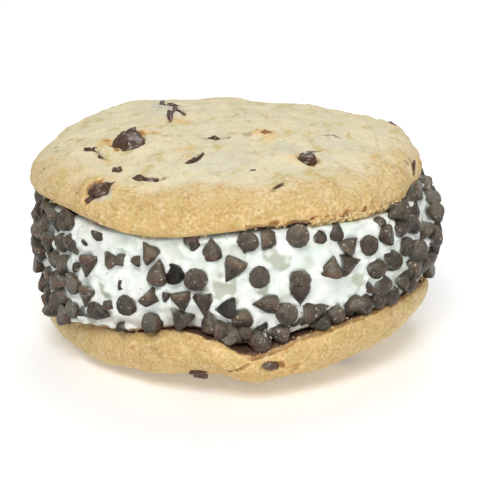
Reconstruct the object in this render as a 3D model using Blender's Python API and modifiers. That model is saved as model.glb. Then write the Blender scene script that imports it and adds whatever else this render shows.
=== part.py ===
"""An ice cream sandwich, in metres, with +Z up and its front towards -Y.

Two chocolate chip cookies hold a thick disc of vanilla ice cream, with their domes
outwards. The side of the ice cream is rolled in mini chocolate chips, and bigger
chocolate chunks sit in pockets in the cookies. The origin is the middle of the flat
spot that the lower cookie rests on.
"""

from dataclasses import dataclass
from math import atan2, cos, degrees, exp, hypot, pi, radians, sin, sqrt

import bmesh
import bpy
from mathutils import Matrix, Vector, noise

# Driving dimensions, in metres.
GAP = 0.0003  # clearance between touching pieces
REST_RADIUS = 0.009  # flat spot in the middle of each dome
EDGE_ROUND = 0.003  # how far a cookie's edge curls in towards its flat face
EDGE_HEIGHT = 0.0032  # from a cookie's flat face to its widest line
SHOULDER_WIDTH = 0.009  # from the widest line in to where the dome starts
CROWN = 0.0022  # rise of the dome from the shoulder to the middle
LOWER_THICKNESS = 0.0134
UPPER_THICKNESS = 0.0109
CREAM_THICKNESS = 0.0242
LOWER_RADIUS = 0.0433
UPPER_RADIUS = 0.0442
UPPER_SHIFT = -0.0025  # the upper cookie has slid to the left
CREAM_RADIUS = 0.0412
CREAM_BULGE = 0.0021  # how far the side swells at half height
CREAM_CORNER = 0.0008  # rounding where the side meets the flat ends
COAT_THICKNESS = 0.0026  # mini chips, from the ice cream to the middle of their tips
COAT_KNOB = 0.0011  # how far the chips' tips stand out or in from there
COAT_MARGIN = 0.03  # share of the height left bare above and below the coat
CHIP_SIZE = 0.0044  # across the base of a mini chip, which sets how knobbly the coat is

# How finely the shapes are divided.
COOKIE_STEPS = 60
CREAM_STEPS = 60
COAT_STEPS = 112
COAT_ROWS = 6
ARC_POINTS = 3
FACE_RINGS = (0.5, 0.8)  # rings on a flat face, as shares of its radius
DOME_RINGS = (0.67, 0.33)  # rings on a dome, as shares of its slope
SIDE_ROWS = 4
MERGE_DISTANCE = 0.00001
NUDGE = 0.01  # small share of a turn or reach, used to measure the dome's slope
CHUNK_BLOCKINESS = 0.72  # 1 makes a round chunk, and less makes a squarer one


@dataclass(frozen=True)
class Wave:
    """One ripple that runs round a cookie's rim."""

    count: int  # crests in a full turn
    height: float
    crest: float  # bearing of one crest, in degrees anticlockwise from +X


@dataclass(frozen=True)
class Bump:
    """A swelling or a dip at one place on a cookie's rim."""

    bearing: float  # degrees anticlockwise from +X
    width: float  # degrees from its middle to where it has mostly died away
    out: float
    up: float


@dataclass(frozen=True)
class Chunk:
    """A chocolate chunk, set in the dome of a cookie."""

    bearing: float  # degrees anticlockwise from +X, about the cookie's centre
    reach: float  # distance from the cookie's centre
    length: float
    width: float
    depth: float
    turn: float  # degrees about the line that points out of the dome
    proud: float  # how far the chunk stands out of the dome
    lean: float = 0.0  # degrees that the chunk leans towards the front


def ripple(waves: tuple[Wave, ...], bearing: float) -> float:
    """Return how far the waves move the rim at a bearing in radians."""
    return sum(w.height * cos(w.count * (bearing - radians(w.crest))) for w in waves)


def nearness(bump: Bump, bearing: float) -> float:
    """Return 1 in the middle of a bump, and less away from it."""
    away = (degrees(bearing) - bump.bearing + 180.0) % 360.0 - 180.0
    return exp(-0.5 * (away / bump.width) ** 2)


@dataclass(frozen=True)
class Cookie:
    """A baked cookie with a flat inner face, a rounded edge and a shallow dome."""

    name: str
    side: int  # +1 with the dome up, and -1 with the dome down
    shift: float  # X of its centre
    radius: float
    face: float  # height of its flat face
    thickness: float
    outline: tuple[Wave, ...]
    lift: tuple[Wave, ...]
    bumps: tuple[Bump, ...]
    chunks: tuple[Chunk, ...]

    def dome(self, reach: float) -> float:
        """Return the height of the outer side above the flat face."""
        top = self.thickness - CROWN
        shoulder = self.radius - SHOULDER_WIDTH
        if reach <= REST_RADIUS:
            return self.thickness
        if reach <= shoulder:
            slope = (reach - REST_RADIUS) / (shoulder - REST_RADIUS)
            return self.thickness - CROWN * slope**2
        along = min(1.0, (reach - shoulder) / SHOULDER_WIDTH)
        return EDGE_HEIGHT + (top - EDGE_HEIGHT) * sqrt(1.0 - along**2)

    def profile(self) -> list[tuple[float, float]]:
        """Return (radius, height above the flat face), from the face to the dome."""
        face_edge = self.radius - EDGE_ROUND
        shoulder = self.radius - SHOULDER_WIDTH
        points = [(0.0, 0.0)]
        points += [(face_edge * ring, 0.0) for ring in FACE_RINGS]
        for step in range(ARC_POINTS):
            turn = pi / 2 * step / ARC_POINTS
            height = EDGE_HEIGHT * (1.0 - cos(turn))
            points.append((face_edge + EDGE_ROUND * sin(turn), height))
        for step in range(ARC_POINTS + 1):
            reach = shoulder + SHOULDER_WIDTH * cos(pi / 2 * step / ARC_POINTS)
            points.append((reach, self.dome(reach)))
        for ring in DOME_RINGS:
            reach = REST_RADIUS + (shoulder - REST_RADIUS) * ring
            points.append((reach, self.dome(reach)))
        points.append((REST_RADIUS, self.thickness))
        points.append((0.0, self.thickness))
        return points

    def spread(self, bearing: float) -> float:
        """Return how much wider than a plain disc the cookie is at a bearing."""
        out = ripple(self.outline, bearing)
        out += sum(bump.out * nearness(bump, bearing) for bump in self.bumps)
        return 1.0 + out / self.radius

    def rim_lift(self, reach: float, bearing: float) -> float:
        """Return how far the wavy rim lifts a point, which is nothing in the middle."""
        up = ripple(self.lift, bearing)
        up += sum(bump.up * nearness(bump, bearing) for bump in self.bumps)
        share = max(0.0, (reach - REST_RADIUS) / (self.radius - REST_RADIUS))
        return up * share**3

    def settle(self, x: float, y: float, height: float) -> Vector:
        """Move a point of the plain turned cookie to its place on the wavy one."""
        reach = hypot(x, y)
        bearing = atan2(y, x)
        spread = self.spread(bearing)
        level = self.face + self.side * height + self.rim_lift(reach, bearing)
        return Vector((self.shift + x * spread, y * spread, level))

    def lift_at(self, x: float, y: float) -> float:
        """Return how far the rim lifts the flat face over a place on the ground."""
        bearing = atan2(y, x - self.shift)
        return self.rim_lift(hypot(x - self.shift, y) / self.spread(bearing), bearing)

    def dome_point(self, reach: float, bearing: float) -> Vector:
        """Return a point on the outer side."""
        return self.settle(reach * cos(bearing), reach * sin(bearing), self.dome(reach))

    def build(self, cutters: bpy.types.Collection) -> None:
        """Build the cookie, with a pocket for each chunk."""
        profile = [(reach, self.side * height) for reach, height in self.profile()]
        if self.side > 0:
            profile.reverse()
        bm = turned(self.name, profile, COOKIE_STEPS)
        for vert in bm.verts:
            vert.co = self.settle(vert.co.x, vert.co.y, self.side * vert.co.z)
        cookie = new_object(self.name, bm, COLLECTION, COOKIE_DOUGH)
        pockets = cookie.modifiers.new("Pockets", "BOOLEAN")
        pockets.operation = "DIFFERENCE"
        pockets.solver = "EXACT"
        pockets.operand_type = "COLLECTION"
        pockets.collection = cutters

    def build_chunks(self, cutters: bpy.types.Collection) -> None:
        """Build the cookie's chunks and the slightly bigger cutters for their pockets."""
        for number, chunk in enumerate(self.chunks, start=1):
            name = f"{self.name}_chunk_{number}"
            new_object(name, self.chunk_shape(chunk, 0.0), COLLECTION, CHUNK_CHOCOLATE)
            pocket = new_object(f"{name}_pocket", self.chunk_shape(chunk, GAP), cutters, None)
            pocket.hide_render = True
            pocket.display_type = "WIRE"

    def chunk_shape(self, chunk: Chunk, margin: float) -> bmesh.types.BMesh:
        """Return a chunk in its place, grown by a margin on every side."""
        bearing = radians(chunk.bearing)
        middle = self.dome_point(chunk.reach, bearing)
        across = self.dome_point(chunk.reach, bearing + NUDGE) - middle
        inward = self.dome_point(chunk.reach * (1.0 - NUDGE), bearing) - middle
        outward = across.cross(inward).normalized() * self.side
        outward.rotate(Matrix.Rotation(radians(chunk.lean), 3, "X"))
        half = Vector((chunk.length, chunk.width, chunk.depth)) / 2
        centre = middle + outward * (chunk.proud - half.z)
        bm = bmesh.new()
        bmesh.ops.create_icosphere(bm, subdivisions=2, radius=1.0)
        for vert in bm.verts:
            blocky = [abs(a) ** CHUNK_BLOCKINESS * (1 if a > 0 else -1) for a in vert.co]
            vert.co = Vector(b * (h + margin) for b, h in zip(blocky, half))
        place = Matrix.Translation(centre) @ frame_along(outward, bearing + radians(chunk.turn))
        bmesh.ops.transform(bm, matrix=place, verts=bm.verts)
        return bm


def frame_along(outward: Vector, bearing: float) -> Matrix:
    """Return a turn that takes +Z to a direction, with +X near a bearing."""
    near = Vector((cos(bearing), sin(bearing), 0.0))
    side = outward.cross(near).normalized()
    return Matrix((side.cross(outward), side, outward)).transposed().to_4x4()


def turned(name: str, profile: list[tuple[float, float]], steps: int) -> bmesh.types.BMesh:
    """Turn a profile of (radius, height) a full circle about the Z axis."""
    bm = bmesh.new()
    points = [bm.verts.new((reach, 0.0, height)) for reach, height in profile]
    for start, end in zip(points, points[1:]):
        bm.edges.new((start, end))
    if profile[0][0] > 0.0:
        bm.edges.new((points[-1], points[0]))
    outline = new_object(name, bm, bpy.context.scene.collection, None)
    screw = outline.modifiers.new("Turn", "SCREW")
    screw.steps = steps
    screw.render_steps = steps
    screw.use_merge_vertices = True
    screw.merge_threshold = MERGE_DISTANCE
    depsgraph = bpy.context.evaluated_depsgraph_get()
    mesh = bpy.data.meshes.new_from_object(outline.evaluated_get(depsgraph))
    bpy.data.objects.remove(outline)
    bm = bmesh.new()
    bm.from_mesh(mesh)
    bpy.data.meshes.remove(mesh)
    bmesh.ops.remove_doubles(bm, verts=bm.verts, dist=MERGE_DISTANCE)
    return bm


def new_object(
    name: str,
    bm: bmesh.types.BMesh,
    collection: bpy.types.Collection,
    material: bpy.types.Material | None,
) -> bpy.types.Object:
    """Make an object of a shape, shade it smooth and put it in a collection."""
    mesh = bpy.data.meshes.new(name)
    bm.to_mesh(mesh)
    bm.free()
    mesh.shade_smooth()
    if material:
        mesh.materials.append(material)
    thing = bpy.data.objects.new(name, mesh)
    collection.objects.link(thing)
    return thing


def new_collection(name: str) -> bpy.types.Collection:
    """Make a collection in the scene."""
    collection = bpy.data.collections.new(name)
    bpy.context.scene.collection.children.link(collection)
    return collection


def new_material(
    name: str, colour: tuple[float, float, float], roughness: float
) -> bpy.types.Material:
    """Make a plain material of a linear colour."""
    material = bpy.data.materials.new(name)
    material.use_nodes = True
    shader = material.node_tree.nodes["Principled BSDF"]
    shader.inputs["Base Color"].default_value = (*colour, 1.0)
    shader.inputs["Roughness"].default_value = roughness
    shader.inputs["Metallic"].default_value = 0.0
    return material


def side_radius(share: float) -> float:
    """Return the radius of the ice cream's swollen side at a share of its height."""
    middle = 1.0 - (2.0 * share - 1.0) ** 2
    return CREAM_RADIUS + CREAM_BULGE * middle


def between_faces(upper: Cookie, lower: Cookie, x: float, y: float, share: float) -> Vector:
    """Return a point at a share of the height between the two cookies' wavy faces."""
    bottom = lower.face + GAP + lower.lift_at(x, y)
    top = upper.face - GAP + upper.lift_at(x, y)
    return Vector((x, y, bottom + (top - bottom) * share))


def build_cream(upper: Cookie, lower: Cookie) -> None:
    """Build the disc of ice cream, whose ends follow the cookies' wavy faces."""
    corner = CREAM_CORNER / CREAM_THICKNESS
    flat = CREAM_RADIUS - CREAM_CORNER
    end = [(0.0, 1.0)]
    end += [(flat * ring, 1.0) for ring in FACE_RINGS]
    end.append((flat, 1.0))
    profile = list(end)
    for row in range(SIDE_ROWS + 1):
        share = 1.0 - corner - (1.0 - 2.0 * corner) * row / SIDE_ROWS
        profile.append((side_radius(share), share))
    profile += [(reach, 0.0) for reach, _ in reversed(end)]
    bm = turned("ice_cream", profile, CREAM_STEPS)
    for vert in bm.verts:
        vert.co = between_faces(upper, lower, *vert.co)
    new_object("ice_cream", bm, COLLECTION, VANILLA)


def build_coat(upper: Cookie, lower: Cookie) -> None:
    """Build the knobbly band of mini chips round the side of the ice cream."""
    rows = [row / COAT_ROWS for row in range(COAT_ROWS + 1)]
    shares = [1.0 - COAT_MARGIN - (1.0 - 2.0 * COAT_MARGIN) * row for row in rows]
    outer = [(side_radius(share) + COAT_THICKNESS, share) for share in shares]
    inner = [(side_radius(share) + GAP, share) for share in reversed(shares[::2])]
    bm = turned("chip_coat", outer + inner, COAT_STEPS)
    for vert in bm.verts:
        x, y, share = vert.co
        if hypot(x, y) > side_radius(share) + COAT_THICKNESS / 2:
            knob = noise.noise(Vector((x, y, share * CREAM_THICKNESS)) / CHIP_SIZE)
            grow = 1.0 + COAT_KNOB * knob / hypot(x, y)
            x *= grow
            y *= grow
        vert.co = between_faces(upper, lower, x, y, share)
    new_object("chip_coat", bm, COLLECTION, CHIP_CHOCOLATE)


for leftover in list(bpy.data.objects):
    bpy.data.objects.remove(leftover)

COLLECTION = new_collection("Ice cream sandwich")
CUTTERS = new_collection("Cutters")
COOKIE_DOUGH = new_material("Cookie dough", (0.72, 0.55, 0.31), 0.8)
VANILLA = new_material("Vanilla ice cream", (0.84, 0.87, 0.85), 0.4)
CHIP_CHOCOLATE = new_material("Mini chip chocolate", (0.065, 0.04, 0.034), 0.45)
CHUNK_CHOCOLATE = new_material("Chunk chocolate", (0.05, 0.025, 0.018), 0.3)

LOWER = Cookie(
    name="cookie_bottom",
    side=-1,
    shift=0.0,
    radius=LOWER_RADIUS,
    face=LOWER_THICKNESS,
    thickness=LOWER_THICKNESS,
    outline=(Wave(2, 0.0005, -35), Wave(3, 0.0011, 38), Wave(4, 0.0006, 3), Wave(5, 0.0002, 26)),
    lift=(Wave(1, 0.0028, -28), Wave(2, 0.001, -62), Wave(3, 0.0004, -6), Wave(4, 0.0006, -27)),
    bumps=(
        Bump(200, 12, -0.0008, -0.0004),
        Bump(240, 9, -0.0004, -0.0001),
        Bump(257, 9, 0.0006, 0.0025),
        Bump(270, 9, 0.0004, -0.0014),
        Bump(272, 26, 0.0007, 0.0002),
        Bump(305, 12, 0.0, 0.0011),
    ),
    chunks=(
        Chunk(277, 0.0430, 0.0034, 0.0030, 0.0030, 10, 0.0005),
        Chunk(258, 0.0365, 0.0040, 0.0030, 0.0030, 80, 0.0006),
        Chunk(20, 0.0380, 0.0046, 0.0036, 0.0034, 40, 0.0006),
        Chunk(75, 0.0400, 0.0050, 0.0038, 0.0036, 70, 0.0008),
        Chunk(118, 0.0290, 0.0048, 0.0040, 0.0032, 15, 0.0005),
        Chunk(160, 0.0375, 0.0044, 0.0032, 0.0032, 120, 0.0006),
        Chunk(215, 0.0320, 0.0042, 0.0034, 0.0030, 30, 0.0003),
        Chunk(325, 0.0300, 0.0052, 0.0040, 0.0034, 55, 0.0005),
    ),
)

UPPER = Cookie(
    name="cookie_top",
    side=1,
    shift=UPPER_SHIFT,
    radius=UPPER_RADIUS,
    face=LOWER_THICKNESS + CREAM_THICKNESS,
    thickness=UPPER_THICKNESS,
    outline=(Wave(2, 0.0005, 63), Wave(3, 0.0004, 23), Wave(5, 0.0003, 28)),
    lift=(Wave(1, 0.0003, 45), Wave(2, 0.001, -87), Wave(3, 0.0003, 7), Wave(4, 0.0009, 26)),
    bumps=(
        Bump(110, 14, 0.0, -0.0005),
        Bump(140, 14, -0.0001, 0.001),
        Bump(185, 14, 0.0002, -0.0006),
        Bump(250, 14, 0.0003, -0.0017),
        Bump(300, 16, 0.0001, -0.0008),
        Bump(345, 16, -0.0003, 0.001),
    ),
    chunks=(
        Chunk(191, 0.0228, 0.0078, 0.0066, 0.0046, -8, 0.0017, lean=24),
        Chunk(116, 0.0294, 0.0040, 0.0050, 0.0036, -20, 0.0012),
        Chunk(231, 0.0414, 0.0046, 0.0050, 0.0040, 15, 0.0008),
        Chunk(199, 0.0314, 0.0030, 0.0040, 0.0030, 60, 0.0006),
        Chunk(243, 0.0350, 0.0028, 0.0044, 0.0028, 10, 0.0005),
        Chunk(311, 0.0273, 0.0038, 0.0042, 0.0036, -25, 0.0012),
        Chunk(336, 0.0097, 0.0032, 0.0036, 0.0030, 30, 0.0006),
        Chunk(25, 0.0418, 0.0034, 0.0038, 0.0030, 0, 0.0006),
    ),
)

for each in (LOWER, UPPER):
    each.build_chunks(CUTTERS)
for each in (LOWER, UPPER):
    each.build(CUTTERS)
build_cream(UPPER, LOWER)
build_coat(UPPER, LOWER)
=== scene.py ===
"""The looks of an ice cream sandwich, in metres, with +Z up and its front towards -Y.

Two baked cookies with their domes outwards hold a thick disc of vanilla ice cream. Its
side is rolled in mini chocolate chips, and chocolate chunks sit in the cookies' skins.
Bearings are degrees anticlockwise from +X, so the front is at 270.
"""

import logging
from dataclasses import dataclass, field, replace
from enum import Enum
from functools import cached_property
from math import atan2, cos, hypot, pi, radians, sin
from random import Random

import bmesh
import bpy
import numpy as np
from mathutils import Matrix, Vector, noise


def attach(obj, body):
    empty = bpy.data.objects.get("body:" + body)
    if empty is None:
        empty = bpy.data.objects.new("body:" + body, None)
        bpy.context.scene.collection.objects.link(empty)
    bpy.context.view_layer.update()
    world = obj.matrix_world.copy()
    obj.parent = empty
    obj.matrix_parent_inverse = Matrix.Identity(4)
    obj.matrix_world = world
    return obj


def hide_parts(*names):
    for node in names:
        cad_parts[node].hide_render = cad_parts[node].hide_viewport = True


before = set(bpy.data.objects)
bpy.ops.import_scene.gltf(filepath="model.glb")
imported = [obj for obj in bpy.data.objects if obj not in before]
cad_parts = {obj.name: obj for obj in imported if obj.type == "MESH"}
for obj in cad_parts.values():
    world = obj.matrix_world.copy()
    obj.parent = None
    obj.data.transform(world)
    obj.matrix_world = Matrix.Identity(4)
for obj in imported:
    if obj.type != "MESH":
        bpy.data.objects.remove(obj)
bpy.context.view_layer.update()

LOG = logging.getLogger("ice_cream_sandwich")

MM = 0.001
FULL_TURN = 2.0 * pi
FAR_AWAY = 1.0
TINY = 0.000001
MERGE_DISTANCE = 0.000002

# How finely a cookie's outline is divided, and how often the line round its dome is softened.
WEDGE_STEPS = 40
DOME_ROWS = 72
SHOULDER_ROWS = 36
CURL_ROWS = 12
OUTER_ROWS = DOME_ROWS + SHOULDER_ROWS
SOFTENED_ROWS = DOME_ROWS + 10
SOFTENING_PASSES = 30

# Sizes that the CAD part gives the cookies and the ice cream, in metres.
GAP = 0.0003
REST_RADIUS = 0.009
EDGE_ROUND = 0.003
EDGE_HEIGHT = 0.0032
SHOULDER_WIDTH = 0.009
CROWN = 0.0022
LOWER_THICKNESS = 0.0134
UPPER_THICKNESS = 0.0109
CREAM_THICKNESS = 0.0242
CREAM_RADIUS = 0.0412
CREAM_BULGE = 0.0021

# Where the noise is read for a chip's dents across, back and up, so that the three differ.
DENT_SHIFTS = ((9.3, -1.5, -7.9), (0.0, 0.0, 0.0), (-6.3, -8.1, 1.9))


# ---------------------------------------------------------------- shaping helpers


def smooth_between(low: float, high: float, value: np.ndarray) -> np.ndarray:
    """Return 0 below low, 1 above high, and a soft S between them."""
    share = np.clip((value - low) / (high - low), 0.0, 1.0)
    return share * share * (3.0 - 2.0 * share)


def hump(distance: np.ndarray, width: float) -> np.ndarray:
    """Return 1 at no distance, dying away over a width."""
    return np.exp(-0.5 * (distance / width) ** 2)


def wobble(points: np.ndarray, size: float, seed: float = 0.0) -> np.ndarray:
    """Return smooth noise, about -0.6 to 0.6, whose lumps are about a size across.

    Args:
        points: places in metres, one a row.
        size: the width of a lump, in metres.
        seed: any number, which gives another pattern.

    Returns:
        The noise at each point.
    """
    shift = Vector((seed, 1.7 * seed, 2.3 * seed))
    return np.array([noise.noise(Vector(p) + shift) for p in (points / size).tolist()])


def pitting(points: np.ndarray, size: float, seed: float = 0.0) -> np.ndarray:
    """Return 1 in the middle of scattered round pits, and 0 between them.

    Args:
        points: places in metres, one a row.
        size: the space between pits, in metres.
        seed: any number, which gives another pattern.

    Returns:
        How far into a pit each point is.
    """
    shift = Vector((seed, 0.6 * seed, 1.9 * seed))
    near = [noise.voronoi(Vector(p) + shift)[0][0] for p in (points / size).tolist()]
    return 1.0 - smooth_between(0.1, 0.38, np.array(near))


def places_of(mesh: bpy.types.Mesh) -> np.ndarray:
    """Read where a mesh's vertices are.

    Args:
        mesh: the mesh.

    Returns:
        Their places in metres, one a row.
    """
    flat = np.empty(len(mesh.vertices) * 3)
    mesh.vertices.foreach_get("co", flat)
    return flat.reshape(-1, 3)


def facings_of(mesh: bpy.types.Mesh) -> np.ndarray:
    """Read which way a mesh's surface faces.

    Args:
        mesh: the mesh.

    Returns:
        The outward direction at each vertex, one a row.
    """
    flat = np.empty(len(mesh.vertices) * 3)
    mesh.vertex_normals.foreach_get("vector", flat)
    return flat.reshape(-1, 3)


def move_to(mesh: bpy.types.Mesh, places: np.ndarray) -> None:
    """Move a mesh's vertices to new places."""
    mesh.vertices.foreach_set("co", places.ravel())
    mesh.update()


def above_ground(places: np.ndarray) -> np.ndarray:
    """Return places with the ones below the ground brought up to it."""
    return np.maximum(places, [-np.inf, -np.inf, 0.0])


def tint(mesh: bpy.types.Mesh, name: str, values: np.ndarray) -> None:
    """Store a share for each vertex, which the mesh's material reads by name."""
    layer = mesh.attributes.new(name, "FLOAT", "POINT")
    layer.data.foreach_set("value", np.clip(values, 0.0, 1.0).astype(np.float32))


def put_in_order(bm: bmesh.types.BMesh, steps: int) -> None:
    """Put a spun shape's points and faces in the same order each run.

    The operators that merge doubles don't keep to one order, and where two faces of the
    ground are equally near, the order settles which of them a crumb lies on.

    Args:
        bm: the shape, whose points store their row of the profile.
        steps: how many steps make the turn.
    """
    row = bm.verts.layers.int["row"]

    def step_at(place: Vector) -> float:
        """Return how many steps round the turn a place is."""
        return atan2(place.y, place.x) / FULL_TURN * steps % steps

    def point_rank(vert: bmesh.types.BMVert) -> int:
        """Return where a point comes, by row and then by step."""
        return vert[row] * steps + round(step_at(vert.co)) % steps

    def face_rank(face: bmesh.types.BMFace) -> int:
        """Return where a face comes, by row and then by step."""
        return min(vert[row] for vert in face.verts) * steps + int(step_at(face.calc_center_median()))

    bm.verts.sort(key=point_rank)
    bm.faces.sort(key=face_rank)
    bm.verts.layers.int.remove(row)


def spun(profile: list[tuple[float, float]], steps: int) -> bmesh.types.BMesh:
    """Spin a profile of (radius, height) a full turn about the Z axis.

    Args:
        profile: points from one pole to the other.
        steps: how many steps make the turn.

    Returns:
        A closed shape whose faces point outwards.
    """
    bm = bmesh.new()
    row = bm.verts.layers.int.new("row")
    points = [bm.verts.new((reach, 0.0, height)) for reach, height in profile]
    for number, point in enumerate(points):
        point[row] = number
    edges = [bm.edges.new(pair) for pair in zip(points, points[1:])]
    wedge, copies = steps, 1
    while wedge > WEDGE_STEPS and wedge % 2 == 0:
        wedge, copies = wedge // 2, copies * 2
    bmesh.ops.spin(
        bm, geom=points + edges, axis=(0, 0, 1), cent=(0, 0, 0), angle=FULL_TURN / copies,
        steps=wedge, use_merge=copies == 1, use_duplicate=False,
    )
    while copies > 1:  # each pass doubles the wedge, which is quicker than one long spin
        geometry = list(bm.verts) + list(bm.edges) + list(bm.faces)
        twin = bmesh.ops.duplicate(bm, geom=geometry)["geom"]
        corners = [part for part in twin if isinstance(part, bmesh.types.BMVert)]
        turn = Matrix.Rotation(FULL_TURN / copies, 3, "Z")
        bmesh.ops.rotate(bm, verts=corners, cent=(0, 0, 0), matrix=turn)
        bmesh.ops.remove_doubles(bm, verts=bm.verts, dist=MERGE_DISTANCE)
        copies //= 2
    bmesh.ops.remove_doubles(bm, verts=bm.verts, dist=MERGE_DISTANCE)
    bmesh.ops.dissolve_degenerate(bm, dist=MERGE_DISTANCE, edges=bm.edges)
    bmesh.ops.recalc_face_normals(bm, faces=bm.faces)
    put_in_order(bm, steps)
    return bm


def new_piece(name: str, bm: bmesh.types.BMesh, finish: bpy.types.Material) -> bpy.types.Object:
    """Make a smooth-shaded piece of a shape, in its place.

    Args:
        name: the piece's name.
        bm: its shape, which is used up.
        finish: its material.

    Returns:
        The new piece.
    """
    mesh = bpy.data.meshes.new(name)
    bm.to_mesh(mesh)
    bm.free()
    mesh.shade_smooth()
    mesh.materials.append(finish)
    piece = bpy.data.objects.new(name, mesh)
    bpy.context.scene.collection.objects.link(piece)
    return piece


def stand_for(piece: bpy.types.Object, slot: str, *nodes: str) -> None:
    """Let a piece ride on the body, and report it.

    Args:
        piece: the piece.
        slot: whose finish it takes; not used.
        nodes: the CAD nodes that it replaces.
    """
    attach(piece, "root")
    if nodes:
        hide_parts(*nodes)
    LOG.info("%s: %d faces", piece.name, len(piece.data.polygons))


def pour(bm: bmesh.types.BMesh, heap: bmesh.types.BMesh) -> None:
    """Add a shape, with what its points store, to a heap of shapes.

    Args:
        bm: the shape, which is used up.
        heap: what it is added to.
    """
    shape = bpy.data.meshes.new("shape")
    bm.to_mesh(shape)
    bm.free()
    heap.from_mesh(shape)
    bpy.data.meshes.remove(shape)


# ---------------------------------------------------------------- finishes


def linear(code: str) -> tuple[float, float, float, float]:
    """Turn an sRGB hex colour to the linear one that a shader takes.

    Args:
        code: the colour, as "#RRGGBB".

    Returns:
        Linear red, green, blue and alpha.
    """
    parts = [int(code[at : at + 2], 16) / 255.0 for at in (1, 3, 5)]
    turned = [c / 12.92 if c <= 0.04045 else ((c + 0.055) / 1.055) ** 2.4 for c in parts]
    return (*turned, 1.0)


def per_size(size: float) -> float:
    """Return the scale that gives a pattern a size, in metres."""
    return 1.0 / size


def add_node(
    tree: bpy.types.NodeTree, kind: str, inputs: dict[str, object], **settings: object
) -> bpy.types.Node:
    """Add a node with its settings and links.

    Args:
        tree: the material's node tree.
        kind: the node's type, without the "ShaderNode" that starts it.
        inputs: a value, or a socket to link, for each input by name or identifier.
        settings: the node's own options.

    Returns:
        The new node.
    """
    node = tree.nodes.new("ShaderNode" + kind)
    for option, value in settings.items():
        setattr(node, option, value)
    for name, value in inputs.items():
        exact = [s for s in node.inputs if s.identifier == name]
        socket = (exact or [s for s in node.inputs if s.name == name])[0]
        if isinstance(value, bpy.types.NodeSocket):
            tree.links.new(value, socket)
        else:
            socket.default_value = value
    return node


def new_material(name: str) -> bpy.types.Material:
    """Make a material that has no nodes yet.

    Args:
        name: its name.

    Returns:
        The new material.
    """
    made = bpy.data.materials.new(name)
    made.use_nodes = True
    made.node_tree.nodes.clear()
    return made


class Source(Enum):
    """What a pattern is drawn from."""

    GRAIN = "lumps in the stuff itself"
    PUSHED = "lumps drawn out front to back, as the dough was dropped and pushed out"
    CRACKS = "wandering hair lines between crusts"
    PORES = "round holes"
    MESH = "a share that the shaping stored on the mesh"


@dataclass(frozen=True)
class Pattern:
    """Where a finish shows something.

    It shows least where its source is at low, and most where its source is at high. The
    size of its lumps, crusts or pores is in metres. A share on the mesh goes by its name.
    """

    source: Source
    low: float = 0.0
    high: float = 1.0
    most: float = 1.0
    least: float = 0.0
    size: float = 1.0 * MM
    detail: float = 2.0
    name: str = ""


@dataclass(frozen=True)
class Layer:
    """A colour laid over the ones before it, where all its patterns show."""

    colour: str
    patterns: tuple[Pattern, ...] = ()


@dataclass(frozen=True)
class Relief:
    """Fine relief pressed into a surface, to a depth in metres."""

    pattern: Pattern
    depth: float
    strength: float


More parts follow.
